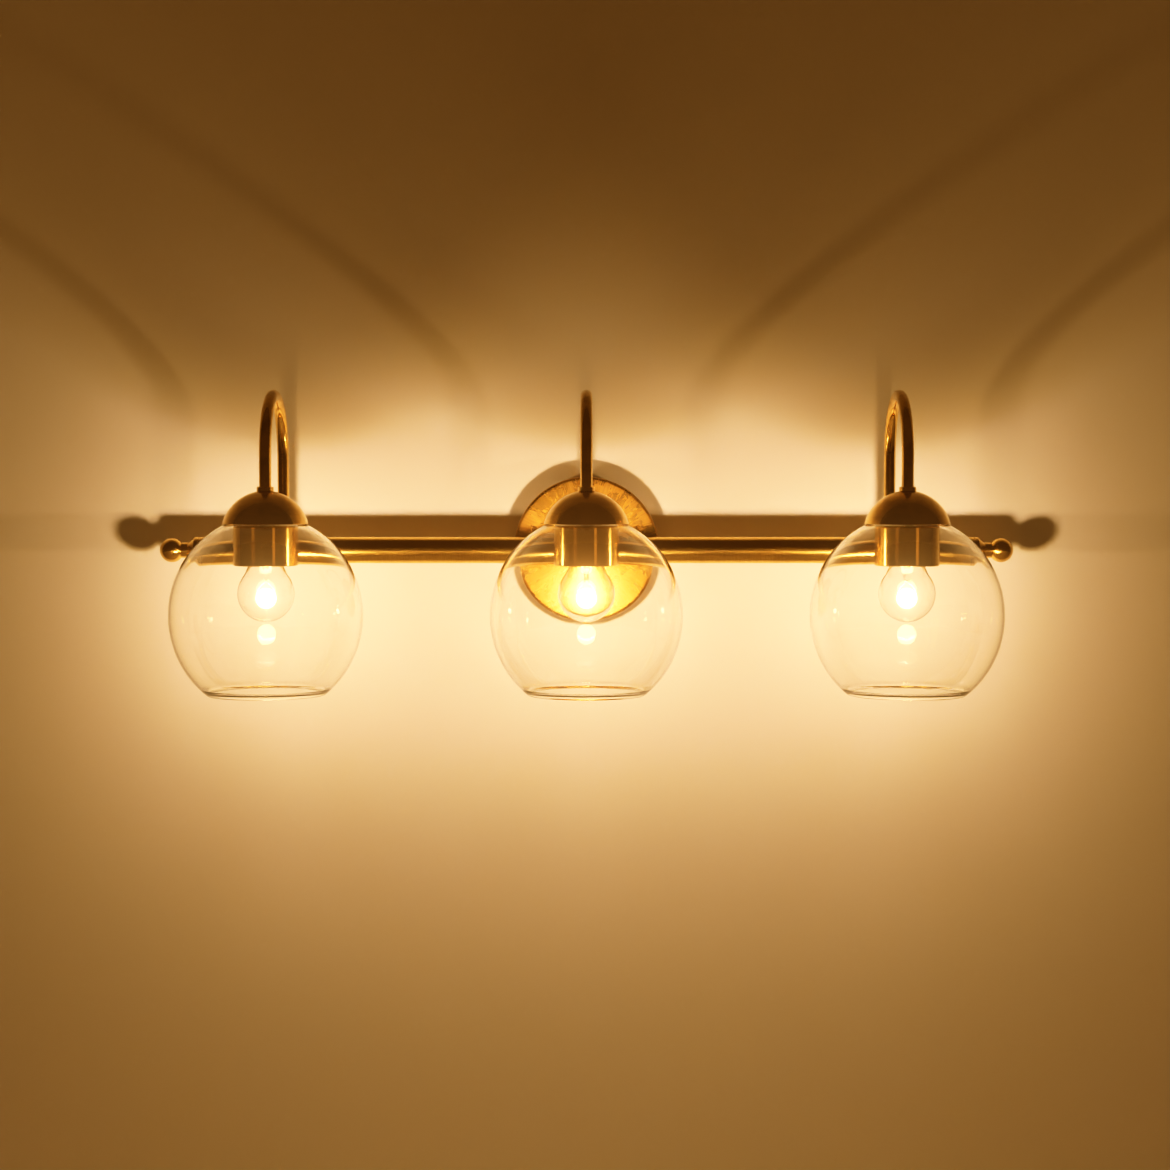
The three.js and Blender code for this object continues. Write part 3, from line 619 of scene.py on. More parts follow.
def canopy():
    """Spun cup, open to the wall, with a rounded rim and a screw hole above and below."""
    hole = NIPPLE_RADIUS + HOLE_SLACK
    edge = CANOPY_EDGE
    inner = edge - CANOPY_WALL
    face = CANOPY_DEPTH
    inside = CANOPY_RADIUS - CANOPY_WALL
    under = face - CANOPY_WALL
    side_ring = 6.0
    outer_ring = CANOPY_RADIUS - 8
    inner_ring = 20.0
    profile = [
        *rounded([
            (CANOPY_RADIUS, side_ring),
            (CANOPY_RADIUS, 0, CANOPY_LIP),
            (inside, 0, CANOPY_LIP),
            (inside, side_ring),
        ], closed=False),
        *arc((CANOPY_RADIUS - edge, face - edge), (inner, inner), 0, 90, 8),
        (outer_ring, under),
        *rounded([
            (inner_ring, under),
            (hole, under, 0.3),
            (hole, face, 0.3),
            (inner_ring, face),
        ], closed=False),
        (outer_ring, face),
        (CANOPY_RADIUS - edge - 0.8, face),
        *arc((CANOPY_RADIUS - edge, face - edge), (edge, edge), 90, 0, 12),
    ]
    cup = turned("canopy_cup", profile, 192)
    across = Matrix.Translation((0, 0, CANOPY_SCREW_HEIGHT * MM)) @ Matrix.Rotation(math.pi / 2, 4, "X")
    drill = cylinder_tool(SCREW_SHANK_RADIUS + HOLE_SLACK, -70, 70, across, 24)
    combined(cup, [drill])
    fitted(cup, brass_face, "fixture", "antique_brass", FACING_ROOM, "canopy")


def slotted_screw(name, head_radius, head_depth, shank_radius, shank_length, pitch):
    """Domed head with a slot, on a threaded shank that points down its own Z."""
    side = head_depth * 0.4
    profile = [
        (0, -shank_length),
        *rounded([(0, -shank_length), (shank_radius * 0.75, -shank_length, 0.2),
                  (shank_radius, -shank_length + 0.7)], closed=False)[1:],
        *thread(shank_radius, -shank_length + 0.8, -0.6, shank_radius * 0.22, pitch),
        (shank_radius, 0),
        *rounded([(shank_radius, 0), (head_radius, 0, 0.2), (head_radius, side)], closed=False)[1:],
        *arc((0, side), (head_radius, head_depth * 0.6), 8, 84, 9),
        (0, head_depth),
    ]
    screw = turned(name, profile, 48, closed=False, pitch=pitch)
    build = bmesh.new()
    bmesh.ops.create_cube(build, size=1.0)
    size = Vector((head_radius * 2.4, head_radius * 0.26, head_depth)) * MM
    bmesh.ops.scale(build, vec=size, verts=build.verts)
    bmesh.ops.translate(build, vec=(0, 0, head_depth * 1.05 * MM), verts=build.verts)
    return combined(screw, [finished("tool", build)])


def canopy_screws():
    for name, side in (("top", 1), ("bottom", -1)):
        screw = slotted_screw(
            f"canopy_screw_{name}_slotted",
            SCREW_HEAD_RADIUS,
            SCREW_HEAD_DEPTH,
            SCREW_SHANK_RADIUS,
            SCREW_SHANK_LENGTH,
            SCREW_PITCH,
        )
        height = side * (CANOPY_RADIUS + HOLE_SLACK) * MM
        turn = Matrix.Rotation(0 if side > 0 else math.pi, 4, "X")
        place = Matrix.Translation((0, -CANOPY_SCREW_HEIGHT * MM, height))
        place = place @ turn @ Matrix.Rotation(0.5, 4, "Z")
        fitted(screw, brass_round[0], "fixture", "antique_brass", place, f"canopy_screw_{name}")


def ground_screw():
    centre = middle("ground_screw")
    screw = slotted_screw("ground_screw_slotted", 4.0, 2.2, 2.0, 1.2, SCREW_PITCH)
    place = Matrix.Translation((centre.x, -1.8 * MM, centre.z)) @ FACING_ROOM @ Matrix.Rotation(0.7, 4, "Z")
    fitted(screw, green_steel, "fixture", "ground_green", place, "ground_screw")


def eased_bracket():
    """The bracket keeps its own mesh, with its edges eased."""
    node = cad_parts["mounting_bracket"]
    bevel = node.modifiers.new("eased_edges", "BEVEL")
    bevel.width = 0.2 * MM
    bevel.segments = 2
    bevel.limit_method = "ANGLE"
    bevel.angle_limit = math.radians(35)
    coated(node, zinc)


def stem():
    """Flanged sleeve between the canopy and the bar, hollowed to sit on the bar."""
    bore = NIPPLE_RADIUS + HOLE_SLACK
    to_axis = -bar_axis.y / MM - CANOPY_DEPTH
    seat = to_axis - SADDLE_START
    profile = rounded([
        (bore, 0.3, 0.2),
        (FLANGE_RADIUS, 0.3, 0.3),
        (FLANGE_RADIUS, FLANGE_DEPTH * 0.65, 0.5),
        (FLANGE_RADIUS - 1.5, FLANGE_DEPTH, 0.5),
        (STEM_RADIUS, FLANGE_DEPTH, 0.5),
        (STEM_RADIUS, seat),
        (bore, seat),
    ])
    sleeve = turned("stem_sleeve", profile, 96)
    across = Matrix.Translation((0, 0, to_axis * MM)) @ Matrix.Rotation(math.pi / 2, 4, "Y")
    combined(sleeve, [cylinder_tool(BAR_RADIUS + 0.15, -30, 30, across, 128)])
    place = Matrix.Translation((0, canopy_face, 0)) @ FACING_ROOM
    fitted(sleeve, brass_round[1], "fixture", "antique_brass", place, "stem")


def hex_nut(name, flats, bore, bottom, top):
    """Hexagon with chamfered corners, cut from a turned blank."""
    corner = flats / math.sqrt(3)
    blank = turned(name, rounded([
        (bore, bottom, 0.25),
        (flats / 2 - 0.1, bottom),
        (corner, bottom + NUT_CHAMFER),
        (corner, top - NUT_CHAMFER),
        (flats / 2 - 0.1, top),
        (bore, top, 0.25),
    ]), 96)
    prism = [(0, bottom - 1), (corner * 1.0005, bottom - 1), (corner * 1.0005, top + 1), (0, top + 1)]
    return combined(blank, [turned("tool", prism, 6, closed=False)], "INTERSECT")


def stem_hardware():
    place = Matrix.Translation((0, canopy_face, 0)) @ FACING_ROOM
    bore = NIPPLE_RADIUS + HOLE_SLACK
    washer_top = -CANOPY_WALL - 0.3
    washer_bottom = washer_top - 1
    nut_top = washer_top - 1.3
    washer = turned("stem_washer_flat", rounded([
        (bore, washer_bottom, 0.15),
        (WASHER_RADIUS, washer_bottom, 0.25),
        (WASHER_RADIUS, washer_top, 0.25),
        (bore, washer_top, 0.15),
    ]), 64)
    fitted(washer, zinc, "fixture", "steel_hardware", place, "stem_washer")
    nut = hex_nut("stem_locknut_hex", STEM_NUT_FLATS, bore, nut_top - NUT_THICKNESS, nut_top)
    fitted(nut, zinc, "fixture", "steel_hardware", place, "stem_locknut")
    low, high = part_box("stem_nipple")
    start = (canopy_face - high.y) / MM
    end = (canopy_face - low.y) / MM
    nipple = turned("stem_nipple_threaded", [
        (NIPPLE_BORE, start), (NIPPLE_RADIUS - 0.3, start),
        *thread(NIPPLE_RADIUS, start + 0.2, end - 0.2, 0.35, FINE_PITCH, rows_per_turn=8),
        (NIPPLE_RADIUS - 0.3, end), (NIPPLE_BORE, end),
    ], 48, pitch=FINE_PITCH)
    fitted(nipple, zinc, "fixture", "steel_hardware", place, "stem_nipple")


# ---------------------------------------------------------------- bar


def bar_tube():
    """Drawn tube with a hole for each gooseneck and one for the nipple."""
    tube = turned("bar_tube_drawn", rounded([
        (BAR_BORE, -BAR_END, 0.2),
        (BAR_RADIUS, -BAR_END, 0.35),
        (BAR_RADIUS, BAR_END, 0.35),
        (BAR_BORE, BAR_END, 0.2),
    ]), 128)
    tools = []
    for lamp in LAMPS:
        lift = Matrix.Translation((0, 0, lamp_place[lamp].x)) @ Matrix.Rotation(-math.pi / 2, 4, "Y")
        tools.append(cylinder_tool(ARM_RADIUS + HOLE_SLACK, 0, 14, lift, 48))
    back = Matrix.Rotation(-math.pi / 2, 4, "X")
    tools.append(cylinder_tool(NIPPLE_RADIUS + HOLE_SLACK, 0, 14, back, 48))
    combined(tube, tools)
    fitted(tube, brass_tube, "fixture", "antique_brass", ALONG_BAR, "bar_tube")


def end_plug(name):
    """Collar, short cone and neck, with a spigot inside the tube and a hole for the ball's stud."""
    return turned(name, rounded([
        (0, BAR_END - SPIGOT_LENGTH),
        (BAR_BORE - HOLE_SLACK, BAR_END - SPIGOT_LENGTH, 0.4),
        (BAR_BORE - HOLE_SLACK, COLLAR_START, 0.1),
        (BAR_RADIUS, COLLAR_START, 0.35),
        (BAR_RADIUS, CONE_START, 0.45),
        (NECK_RADIUS, CONE_END, 0.8),
        (NECK_RADIUS, NECK_END, 0.3),
        (STUD_HOLE_RADIUS, NECK_END, 0.2),
        (STUD_HOLE_RADIUS, NECK_END - STUD_HOLE_DEPTH),
        (0, NECK_END - STUD_HOLE_DEPTH),
    ], closed=False), 96, closed=False)


def ball_finial(name):
    """Ball on a threaded stud, flat where it meets the plug's neck."""
    seat_radius = NECK_RADIUS - HOLE_SLACK
    start = math.degrees(math.asin(seat_radius / BALL_RADIUS)) - 90
    seat = BALL_CENTRE - math.sqrt(BALL_RADIUS**2 - seat_radius**2)
    return turned(name, [
        (0, seat - STUD_LENGTH),
        (STUD_RADIUS - 0.4, seat - STUD_LENGTH),
        *thread(STUD_RADIUS, seat - 7.2, seat - 0.6, 0.4, FINE_PITCH, rows_per_turn=8),
        (STUD_RADIUS, seat),
        *arc((0, BALL_CENTRE), (BALL_RADIUS, BALL_RADIUS), start, 89, 40),
        (0, BALL_CENTRE + BALL_RADIUS),
    ], 96, closed=False, pitch=FINE_PITCH)


def bar_ends():
    flip = Matrix.Rotation(math.pi, 4, "X")
    for name, turn, shade in (("right", Matrix.Identity(4), brass_round[1]), ("left", flip, brass_round[2])):
        place = ALONG_BAR @ turn
        plug = end_plug(f"bar_end_{name}_turned")
        fitted(plug, shade, "fixture", "antique_brass", place, f"bar_end_plug_{name}")
        ball = ball_finial(f"finial_{name}_ball")
        fitted(ball, shade, "fixture", "antique_brass", place, f"finial_{name}")


# ---------------------------------------------------------------- goosenecks and leads


def quarter(centre, start, end, radius, steps):
    """Points on a quarter circle about centre, from the start direction to the end direction."""
    turns = [math.pi / 2 * i / steps for i in range(steps + 1)]
    return [centre + (start * math.cos(t) + end * math.sin(t)) * radius for t in turns]


def gooseneck_path(tip, foot, steps=28):
    """In the lamp's frame, from the tip inside the dome, over the arc, to the foot in the bar."""
    radius = ARM_REACH / 2
    centre = Vector((0, radius, ARM_CROWN_CENTRE))
    front, up, back = Vector((0, -1, 0)), Vector((0, 0, 1)), Vector((0, 1, 0))
    rise = [Vector((0, 0, tip + (ARM_CROWN_CENTRE - tip) * i / 6)) for i in range(6)]
    arch = quarter(centre, front, up, radius, steps) + quarter(centre, up, back, radius, steps)[1:]
    fall = [Vector((0, ARM_REACH, ARM_CROWN_CENTRE + (foot - ARM_CROWN_CENTRE) * i / 6)) for i in range(1, 7)]
    return rise + arch + fall


def arm(lamp, index):
    """Bent tube, and the collar that hides its foot on the bar."""
    tube = swept(f"arm_tube_{lamp}_bent", gooseneck_path(ARM_TIP, ARM_FOOT), ARM_RADIUS, ARM_BORE, 40)
    fitted(tube, brass_arm[index], "fixture", "antique_brass", lamp_frame(lamp), f"arm_tube_{lamp}")
    bore = ARM_RADIUS + 0.15
    collar = turned(f"arm_base_collar_{lamp}_turned", rounded([
        (bore, SADDLE_START),
        (RING_RADIUS, SADDLE_START),
        (RING_RADIUS, COLLAR_TOP, 0.9),
        (bore, COLLAR_TOP, 0.25),
    ]), 64)
    across = Matrix.Rotation(math.pi / 2, 4, "Y")
    combined(collar, [cylinder_tool(BAR_RADIUS + 0.1, -12, 12, across, 128)])
    place = Matrix.Translation((lamp_place[lamp].x, bar_axis.y, bar_axis.z))
    fitted(collar, brass_round[index], "fixture", "antique_brass", place, f"arm_base_collar_{lamp}")


def lead_path(lamp, side):
    """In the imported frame: through the gooseneck, along the bar and out through the stem."""
    origin = lamp_place[lamp] / MM
    rear = bar_axis.y / MM
    level = LEAD_SPREAD if side == 0 else -LEAD_SPREAD
    low = level + LEAD_BEND
    tip = LEAD_TIP - origin.z
    path = [origin + p for p in gooseneck_path(tip, low - origin.z, 20)]
    down, front = Vector((0, 0, -1)), Vector((0, -1, 0))
    exit_x = side * LEAD_SPREAD
    if side == 0:
        path += quarter(Vector((0, rear + LEAD_BEND, low)), front, down, LEAD_BEND, 8)[1:]
    else:
        outward, inward = Vector((side, 0, 0)), Vector((-side, 0, 0))
        entry = origin.x - side * LEAD_BEND
        leave = exit_x + side * LEAD_BEND
        path += quarter(Vector((entry, rear, low)), outward, down, LEAD_BEND, 8)[1:]
        path += quarter(Vector((leave, rear + LEAD_BEND, level)), front, inward, LEAD_BEND, 8)
    path += [Vector((exit_x, depth, level)) for depth in LEAD_EXIT]
    return path


def lead(lamp, side):
    """Covered wire, with bare strands at the end that goes to the wall."""
    path = lead_path(lamp, side)
    cover = swept(f"lamp_lead_{lamp}_cover", path, LEAD_RADIUS, 0.0, 16)
    fitted(cover, insulation, "fixture", "lead_insulation", Matrix.Identity(4), f"lamp_lead_{lamp}")
    bare = [path[-1] + Vector((0, length, 0)) for length in (0, 3, 6)]
    strands = swept(f"lamp_lead_{lamp}_strands", bare, STRAND_RADIUS, 0.0, 12)
    fitted(strands, copper, "fixture", "lead_insulation", Matrix.Identity(4))


# ---------------------------------------------------------------- lamp heads


def cap_height(radius, shrink=0.0):
    """Height of the dome's sphere above its rim, at a distance from the axis."""
    return math.sqrt((CAP_RADIUS - shrink) ** 2 - radius**2) + CAP_CENTRE


def dome_cap(lamp, index):
    """Spun cap of a sphere with a sharp rim and a hole for the gooseneck, its ring above and nut below."""
    hole = ARM_RADIUS + HOLE_SLACK
    inner = CAP_RADIUS - DOME_WALL
    rim_outer, rim_inner = (math.degrees(math.asin(-CAP_CENTRE / r)) for r in (CAP_RADIUS, inner))
    stop_outer, stop_inner = (math.degrees(math.acos(hole / r)) for r in (CAP_RADIUS, inner))
    profile = [
        *arc((0, CAP_CENTRE), (CAP_RADIUS, CAP_RADIUS), rim_outer + 0.3, stop_outer, 48),
        *arc((0, CAP_CENTRE), (inner, inner), stop_inner, rim_inner + 0.3, 48),
        (DOME_RADIUS - DOME_WALL, 0.0),
        (DOME_RADIUS - 0.25, 0.0),
    ]
    cap = turned(f"dome_cap_{lamp}_spun", profile, 160, smooth_angle=50)
    fitted(cap, brass_round[index], "fixture", "antique_brass", lamp_frame(lamp), f"dome_cap_{lamp}")
    bore = ARM_RADIUS + 0.1
    seat = cap_height(ARM_RADIUS)
    ring = turned(f"check_ring_{lamp}_turned", rounded([
        (bore, seat + 0.05),
        (RING_RADIUS, seat - 0.2, 0.3),
        (RING_RADIUS, seat + RING_HEIGHT, 1.0),
        (bore, seat + RING_HEIGHT, 0.3),
    ]), 64)
    fitted(ring, brass_round[index], "fixture", "antique_brass", lamp_frame(lamp), f"check_ring_{lamp}")
    top = cap_height(DOME_NUT_FLATS / math.sqrt(3), DOME_WALL) - HOLE_SLACK
    nut = hex_nut(f"dome_locknut_{lamp}_hex", DOME_NUT_FLATS, hole, top - NUT_THICKNESS, top)
    fitted(nut, zinc, "fixture", "steel_hardware", lamp_frame(lamp), f"dome_locknut_{lamp}")


def lampholder(lamp):
    """Moulded body with a ribbed skirt, its brass screw shell inside."""
    rib = HOLDER_BOTTOM + 8.2
    body = turned(f"lampholder_{lamp}_moulded", rounded([
        (HOLDER_BORE, HOLDER_BOTTOM, 0.4),
        (HOLDER_RADIUS, HOLDER_BOTTOM, 0.6),
        (HOLDER_RADIUS, rib, 0.2),
        (HOLDER_RADIUS - 0.6, rib + 0.6, 0.2),
        (HOLDER_RADIUS - 0.6, rib + 1.8, 0.2),
        (HOLDER_RADIUS, rib + 2.4, 0.2),
        (HOLDER_RADIUS, HOLDER_FLOOR, 1.2),
        (HOLDER_CROWN, HOLDER_TOP, 0.8),
        (HOLDER_TUBE_BORE, HOLDER_TOP, 0.3),
        (HOLDER_TUBE_BORE, HOLDER_FLOOR, 0.2),
        (WIRE_HOLE_RADIUS, HOLDER_FLOOR, 0.4),
        (WIRE_HOLE_RADIUS, HOLDER_CEILING, 0.4),
        (HOLDER_BORE, HOLDER_CEILING, 0.4),
    ]), 96)
    fitted(body, phenolic, "fixture", "phenolic", lamp_frame(lamp), f"lampholder_{lamp}")
    crest = SHELL_CREST
    outer_crest = crest + SHELL_WALL
    rows = thread(crest, SHELL_BOTTOM + 0.6, SHELL_TOP - 2.4, 0.5, EDISON_PITCH, rows_per_turn=12)
    outside = [(r + SHELL_WALL, z, d) for r, z, d in rows]
    shell = turned(f"screw_shell_{lamp}_rolled", [
        (crest, SHELL_BOTTOM),
        *rows,
        (crest, SHELL_TOP - 0.8),
        (crest - 0.4, SHELL_TOP - 0.3),
        (SHELL_LIP, SHELL_TOP - 0.3),
        (SHELL_LIP, SHELL_TOP),
        (crest, SHELL_TOP),
        (outer_crest, SHELL_TOP - 0.8),
        *reversed(outside),
        (outer_crest, SHELL_BOTTOM),
    ], 96, pitch=EDISON_PITCH)
    fitted(shell, stamped_brass, "fixture", "bare_brass", lamp_frame(lamp), f"screw_shell_{lamp}")


def cup(lamp, index):
    """Retainer that clamps the globe: flat flange above, straight skirt, a fine bead at its mouth."""
    bore = HOLDER_RADIUS + 0.6
    inner = CUP_RADIUS - CUP_WALL
    skirt = turned(f"retainer_cup_{lamp}_spun", rounded([
        (CUP_RADIUS - 0.3, CUP_BOTTOM, 0.45),
        (CUP_RADIUS, CUP_BOTTOM + 0.9, 0.6),
        (CUP_RADIUS, CUP_TOP, 1.3),
        (bore, CUP_TOP, 0.3),
        (bore, CUP_TOP - CUP_THREAD_LENGTH, 0.3),
        (bore + CUP_WALL, CUP_TOP - CUP_THREAD_LENGTH, 0.3),
        (bore + CUP_WALL, CUP_TOP - CUP_WALL, 0.6),
        (inner, CUP_TOP - CUP_WALL - 0.6, 1.0),
        (inner, CUP_BOTTOM, 0.4),
    ]), 128)
    place = lamp_frame(lamp)
    fitted(skirt, brass_round[index], f"retainer_{lamp}", "antique_brass", place, f"retainer_cup_{lamp}")


def globe(lamp):
    """Blown globe, a little taller than wide, with a fire-polished bead at its mouth."""
    inner = GLOBE_RADIUS - GLOBE_WALL
    inner_rise = GLOBE_RISE - GLOBE_WALL
    mouth = GLOBE_CENTRE - GLOBE_RISE * math.sqrt(1 - (GLOBE_MOUTH / GLOBE_RADIUS) ** 2)

    def angle_at(height, rise):
        return math.degrees(math.asin((height - GLOBE_CENTRE) / rise))

    centre = (0, GLOBE_CENTRE)
    low = angle_at(mouth + 0.8, GLOBE_RISE)
    low_inner = angle_at(mouth + GLOBE_LIP_HEIGHT, inner_rise)
    high = math.degrees(math.acos((GLOBE_NECK + 0.4) / GLOBE_RADIUS))
    high_inner = math.degrees(math.acos((GLOBE_NECK + 0.4) / inner))
    outer_wall = arc(centre, (GLOBE_RADIUS, GLOBE_RISE), low, high, 72)
    inner_wall = arc(centre, (inner, inner_rise), high_inner, low_inner, 72)
    bead = GLOBE_MOUTH - GLOBE_WALL - GLOBE_LIP_SWELL
    lip = rounded([
        inner_wall[-1],
        (bead + 1.4, mouth + GLOBE_LIP_HEIGHT - 0.6, 1.2),
        (bead, mouth + GLOBE_LIP_HEIGHT * 0.5, 1.5),
        (bead + 0.4, mouth, 1.2),
        (GLOBE_MOUTH, mouth, 0.7),
        outer_wall[0],
    ], steps=5, closed=False)
    profile = [
        *outer_wall,
        *bridge_rows(outer_wall[-1], inner_wall[0], 0.5, 6),
        *inner_wall,
        *lip[1:-1],
    ]
    glass = turned(f"glass_shade_{lamp}_blown", profile, 192, smooth_angle=70)
    fitted(glass, globe_glass, f"shade_{lamp}", "shade_glass", lamp_frame(lamp), f"glass_shade_{lamp}")
    ring = turned(f"shade_gasket_{lamp}_moulded", rounded([
        (GASKET_INNER, GASKET_BOTTOM, 0.2),
        (GASKET_OUTER, GASKET_BOTTOM, 0.2),
        (GASKET_OUTER, -0.65, 0.2),
        (22.1, GASKET_TOP, 0.2),
        (GASKET_INNER, GASKET_TOP, 0.2),
    ]), 96)
    fitted(ring, silicone, f"shade_{lamp}", "gasket", lamp_frame(lamp), f"shade_gasket_{lamp}")


def bridge_rows(start, end, bulge, steps):
    """Points of a half-round edge between two points, bulging to the right of the way from start to end."""
    a, b = Vector(start), Vector(end)
    along = b - a
    side = Vector((along.y, -along.x)).normalized()
    middle_point = (a + b) / 2
    rows = []
    for i in range(1, steps):
        t = math.pi * i / steps
        rows.append(tuple(middle_point - along * (math.cos(t) / 2) + side * (bulge * math.sin(t))))
    return rows


def bulb(lamp):
    """Clear envelope, rolled screw base with its insulator and tip, and what stands inside."""
    place = lamp_frame(lamp)
    body = f"bulb_{lamp}"
    neck = BULB_NECK
    envelope_outer = [
        (neck, BASE_BOTTOM + 6),
        (neck, BASE_BOTTOM + 1),
        (neck + 0.5, BASE_BOTTOM - 1.5),
        (neck + 1.3, BASE_BOTTOM - 4.5),
        (neck + 2.9, BASE_BOTTOM - 7.9),
        *arc((0, BULB_CENTRE), (BULB_RADIUS, BULB_RADIUS), 42, -89, 44),
        (0, BULB_CENTRE - BULB_RADIUS),
    ]
    inner_radius = BULB_RADIUS - BULB_WALL
    envelope_inner = [
        (0, BULB_CENTRE - inner_radius),
        *arc((0, BULB_CENTRE), (inner_radius, inner_radius), -89, 42, 44),
        (neck + 2.9 - BULB_WALL, BASE_BOTTOM - 8.1),
        (neck + 1.3 - BULB_WALL, BASE_BOTTOM - 4.6),
        (neck + 0.5 - BULB_WALL, BASE_BOTTOM - 1.6),
        (neck - BULB_WALL, BASE_BOTTOM + 1),
        (neck - BULB_WALL, BASE_BOTTOM + 6),
    ]
    envelope = turned(f"bulb_glass_{lamp}_blown", [*envelope_outer, *envelope_inner], 96, smooth_angle=60)
    fitted(envelope, bulb_glass, body, "bulb_glass", place, f"bulb_glass_{lamp}")
    shell = turned(f"bulb_base_{lamp}_rolled", [
        (neck + 0.15, BASE_BOTTOM + 0.2),
        (BASE_RADIUS - 0.3, BASE_BOTTOM),
        (BASE_RADIUS, BASE_BOTTOM + 0.3),
        (BASE_RADIUS, BASE_BOTTOM + 2.6),
        *thread(BASE_RADIUS, BASE_BOTTOM + 3.0, BASE_TOP - 3.4, 1.15, EDISON_PITCH, rows_per_turn=14),
        (BASE_RADIUS - 0.2, BASE_TOP - 3.0),
        (BASE_RADIUS - 2.0, BASE_TOP - 1.2),
        (BASE_RADIUS - 4.6, BASE_TOP - 0.4),
        (BASE_RADIUS - 4.8, BASE_TOP - 0.7),
        (neck + 0.15, BASE_TOP - 3.6),
    ], 96, pitch=EDISON_PITCH)
    fitted(shell, nickel, body, "nickel_plate", place, f"bulb_base_{lamp}")
    plug = turned(f"bulb_insulator_{lamp}", [
        (0, BASE_TOP - 1.6),
        (7.7, BASE_TOP - 1.6),
        *rounded([(7.9, BASE_TOP - 0.7), (6.4, BASE_TOP + 1.6, 0.8), (4.6, BASE_TOP + 2.6, 0.3),
                  (4.2, BASE_TOP + 2.4)], closed=False),
        (0, BASE_TOP + 2.4),
    ], 64, closed=False)
    fitted(plug, insulator, body, "nickel_plate", place)
    button = turned(f"bulb_tip_{lamp}", [
        (0, BASE_TOP + 2.3),
        (4.0, BASE_TOP + 2.3),
        *arc((0, BASE_TOP + 2.5), (4.1, BASE_TIP - BASE_TOP - 2.5), 5, 85, 10),
        (0, BASE_TIP),
    ], 48, closed=False)
    fitted(button, solder, body, "nickel_plate", place)
    mount(lamp, place, body)
    glow(lamp, place, body)


def mount(lamp, place, body):
    """Glass stem with its flare, and the two nickel wires that the coiled filament hangs between."""
    stem_top = BASE_BOTTOM + 5
    foot = BULB_CENTRE + 9
    post = turned(f"bulb_stem_{lamp}", [
        (0, stem_top),
        (8.5, stem_top),
        (8.2, stem_top - 1.0),
        (4.4, stem_top - 6),
        (2.9, stem_top - 10),
        (2.4, foot + 5),
        (2.9, foot + 2),
        (2.2, foot),
        (0, foot - 0.4),
    ], 48, closed=False, smooth_angle=70)
    fitted(post, bulb_glass, body, "filament", place, f"bulb_filament_{lamp}")
    spread, low = FILAMENT_SPREAD, FILAMENT_LOW
    for side in (-1, 1):
        route = [
            Vector((side * 1.2, 0, foot + 3)),
            Vector((side * 1.4, 0, foot - 0.4)),
            Vector((side * 3.6, 0, foot - 2.2)),
            Vector((side * (spread - 1.4), 0, foot - 4.6)),
            Vector((side * spread, 0, low + 3)),
            Vector((side * spread, 0, low)),
        ]
        wire = swept(f"bulb_wire_{lamp}_{'left' if side < 0 else 'right'}", smoothed(route), 0.3, 0.0, 10)
        fitted(wire, nickel, body, "filament", place)


def smoothed(route, steps=5):
    """A Catmull-Rom curve through the route's points."""
    padded = [route[0] * 2 - route[1], *route, route[-1] * 2 - route[-2]]
    path = []
    for a, b, c, d in zip(padded, padded[1:], padded[2:], padded[3:]):
        for i in range(steps):
            t = i / steps
            path.append(0.5 * (2 * b + (c - a) * t + (2 * a - 5 * b + 4 * c - d) * t**2
                               + (3 * b - a - 3 * c + d) * t**3))
    path.append(route[-1])
    return path


def glow(lamp, place, body):
    """Coiled tungsten wire in a shallow bow, white hot."""
    turns, per_turn = 16, 12
    rise, coil_radius, wire_radius = 3.2, 0.9, 0.28
    path = []
    for i in range(turns * per_turn + 1):
        t = i / (turns * per_turn)
        x = FILAMENT_SPREAD * (2 * t - 1)
        bow = rise * (1 - (2 * t - 1) ** 2)
        angle = 2 * math.pi * turns * t
        z = FILAMENT_LOW + bow + coil_radius * math.sin(angle)
        path.append(Vector((x, coil_radius * math.cos(angle), z)))
    coil = swept(f"bulb_coil_{lamp}", path, wire_radius, 0.0, 8)
    fitted(coil, hot_wire, body, "filament", place)


# ---------------------------------------------------------------- light, backdrop and camera

BULB_COLOUR = (1.0, 0.525, 0.14)
BULB_WATTS = 1.7
LIGHT_HEIGHT = -58.5
LIGHT_RADIUS = 8
PANEL_COLOUR = (1.0, 0.45, 0.11)
PANEL_TARGET = (0, -0.1, 0)
ROOM_COLOUR = (1.0, 0.38, 0.08, 1)
ROOM_STRENGTH = 0.05

STAGE_HALF_WIDTH = 3
STAGE_DEPTH = 4
WALL_FACE = 0.0005
WALL_TOP = 2.5
FLOOR_HEIGHT = -0.7

CAMERA_PLACE = (0, -1.794, 0.0583)
CAMERA_LENS = 64.92
CAMERA_DIP = 2.849
CAMERA_YAW = 0.038


def bulb_light(lamp):
    data = bpy.data.lights.new(f"bulb_light_{lamp}", "POINT")
    data.color = BULB_COLOUR
    data.energy = BULB_WATTS
    data.shadow_soft_size = LIGHT_RADIUS * MM
    data.use_soft_falloff = False
    light = linked(f"bulb_light_{lamp}", data)
    light.location = lamp_place[lamp] + Vector((0, 0, LIGHT_HEIGHT * MM))
    light.visible_camera = False
    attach(light, f"bulb_{lamp}")


def soft_panel(name, place, size, watts):
    """Dim area light turned to the lamps."""
    data = bpy.data.lights.new(name, "AREA")
    data.shape = "RECTANGLE"
    data.size, data.size_y = size
    data.energy = watts
    data.color = PANEL_COLOUR
    panel = linked(name, data)
    panel.visible_glossy = False
    panel.location = place
    panel.rotation_euler = (Vector(PANEL_TARGET) - Vector(place)).to_track_quat("-Z", "Y").to_euler()


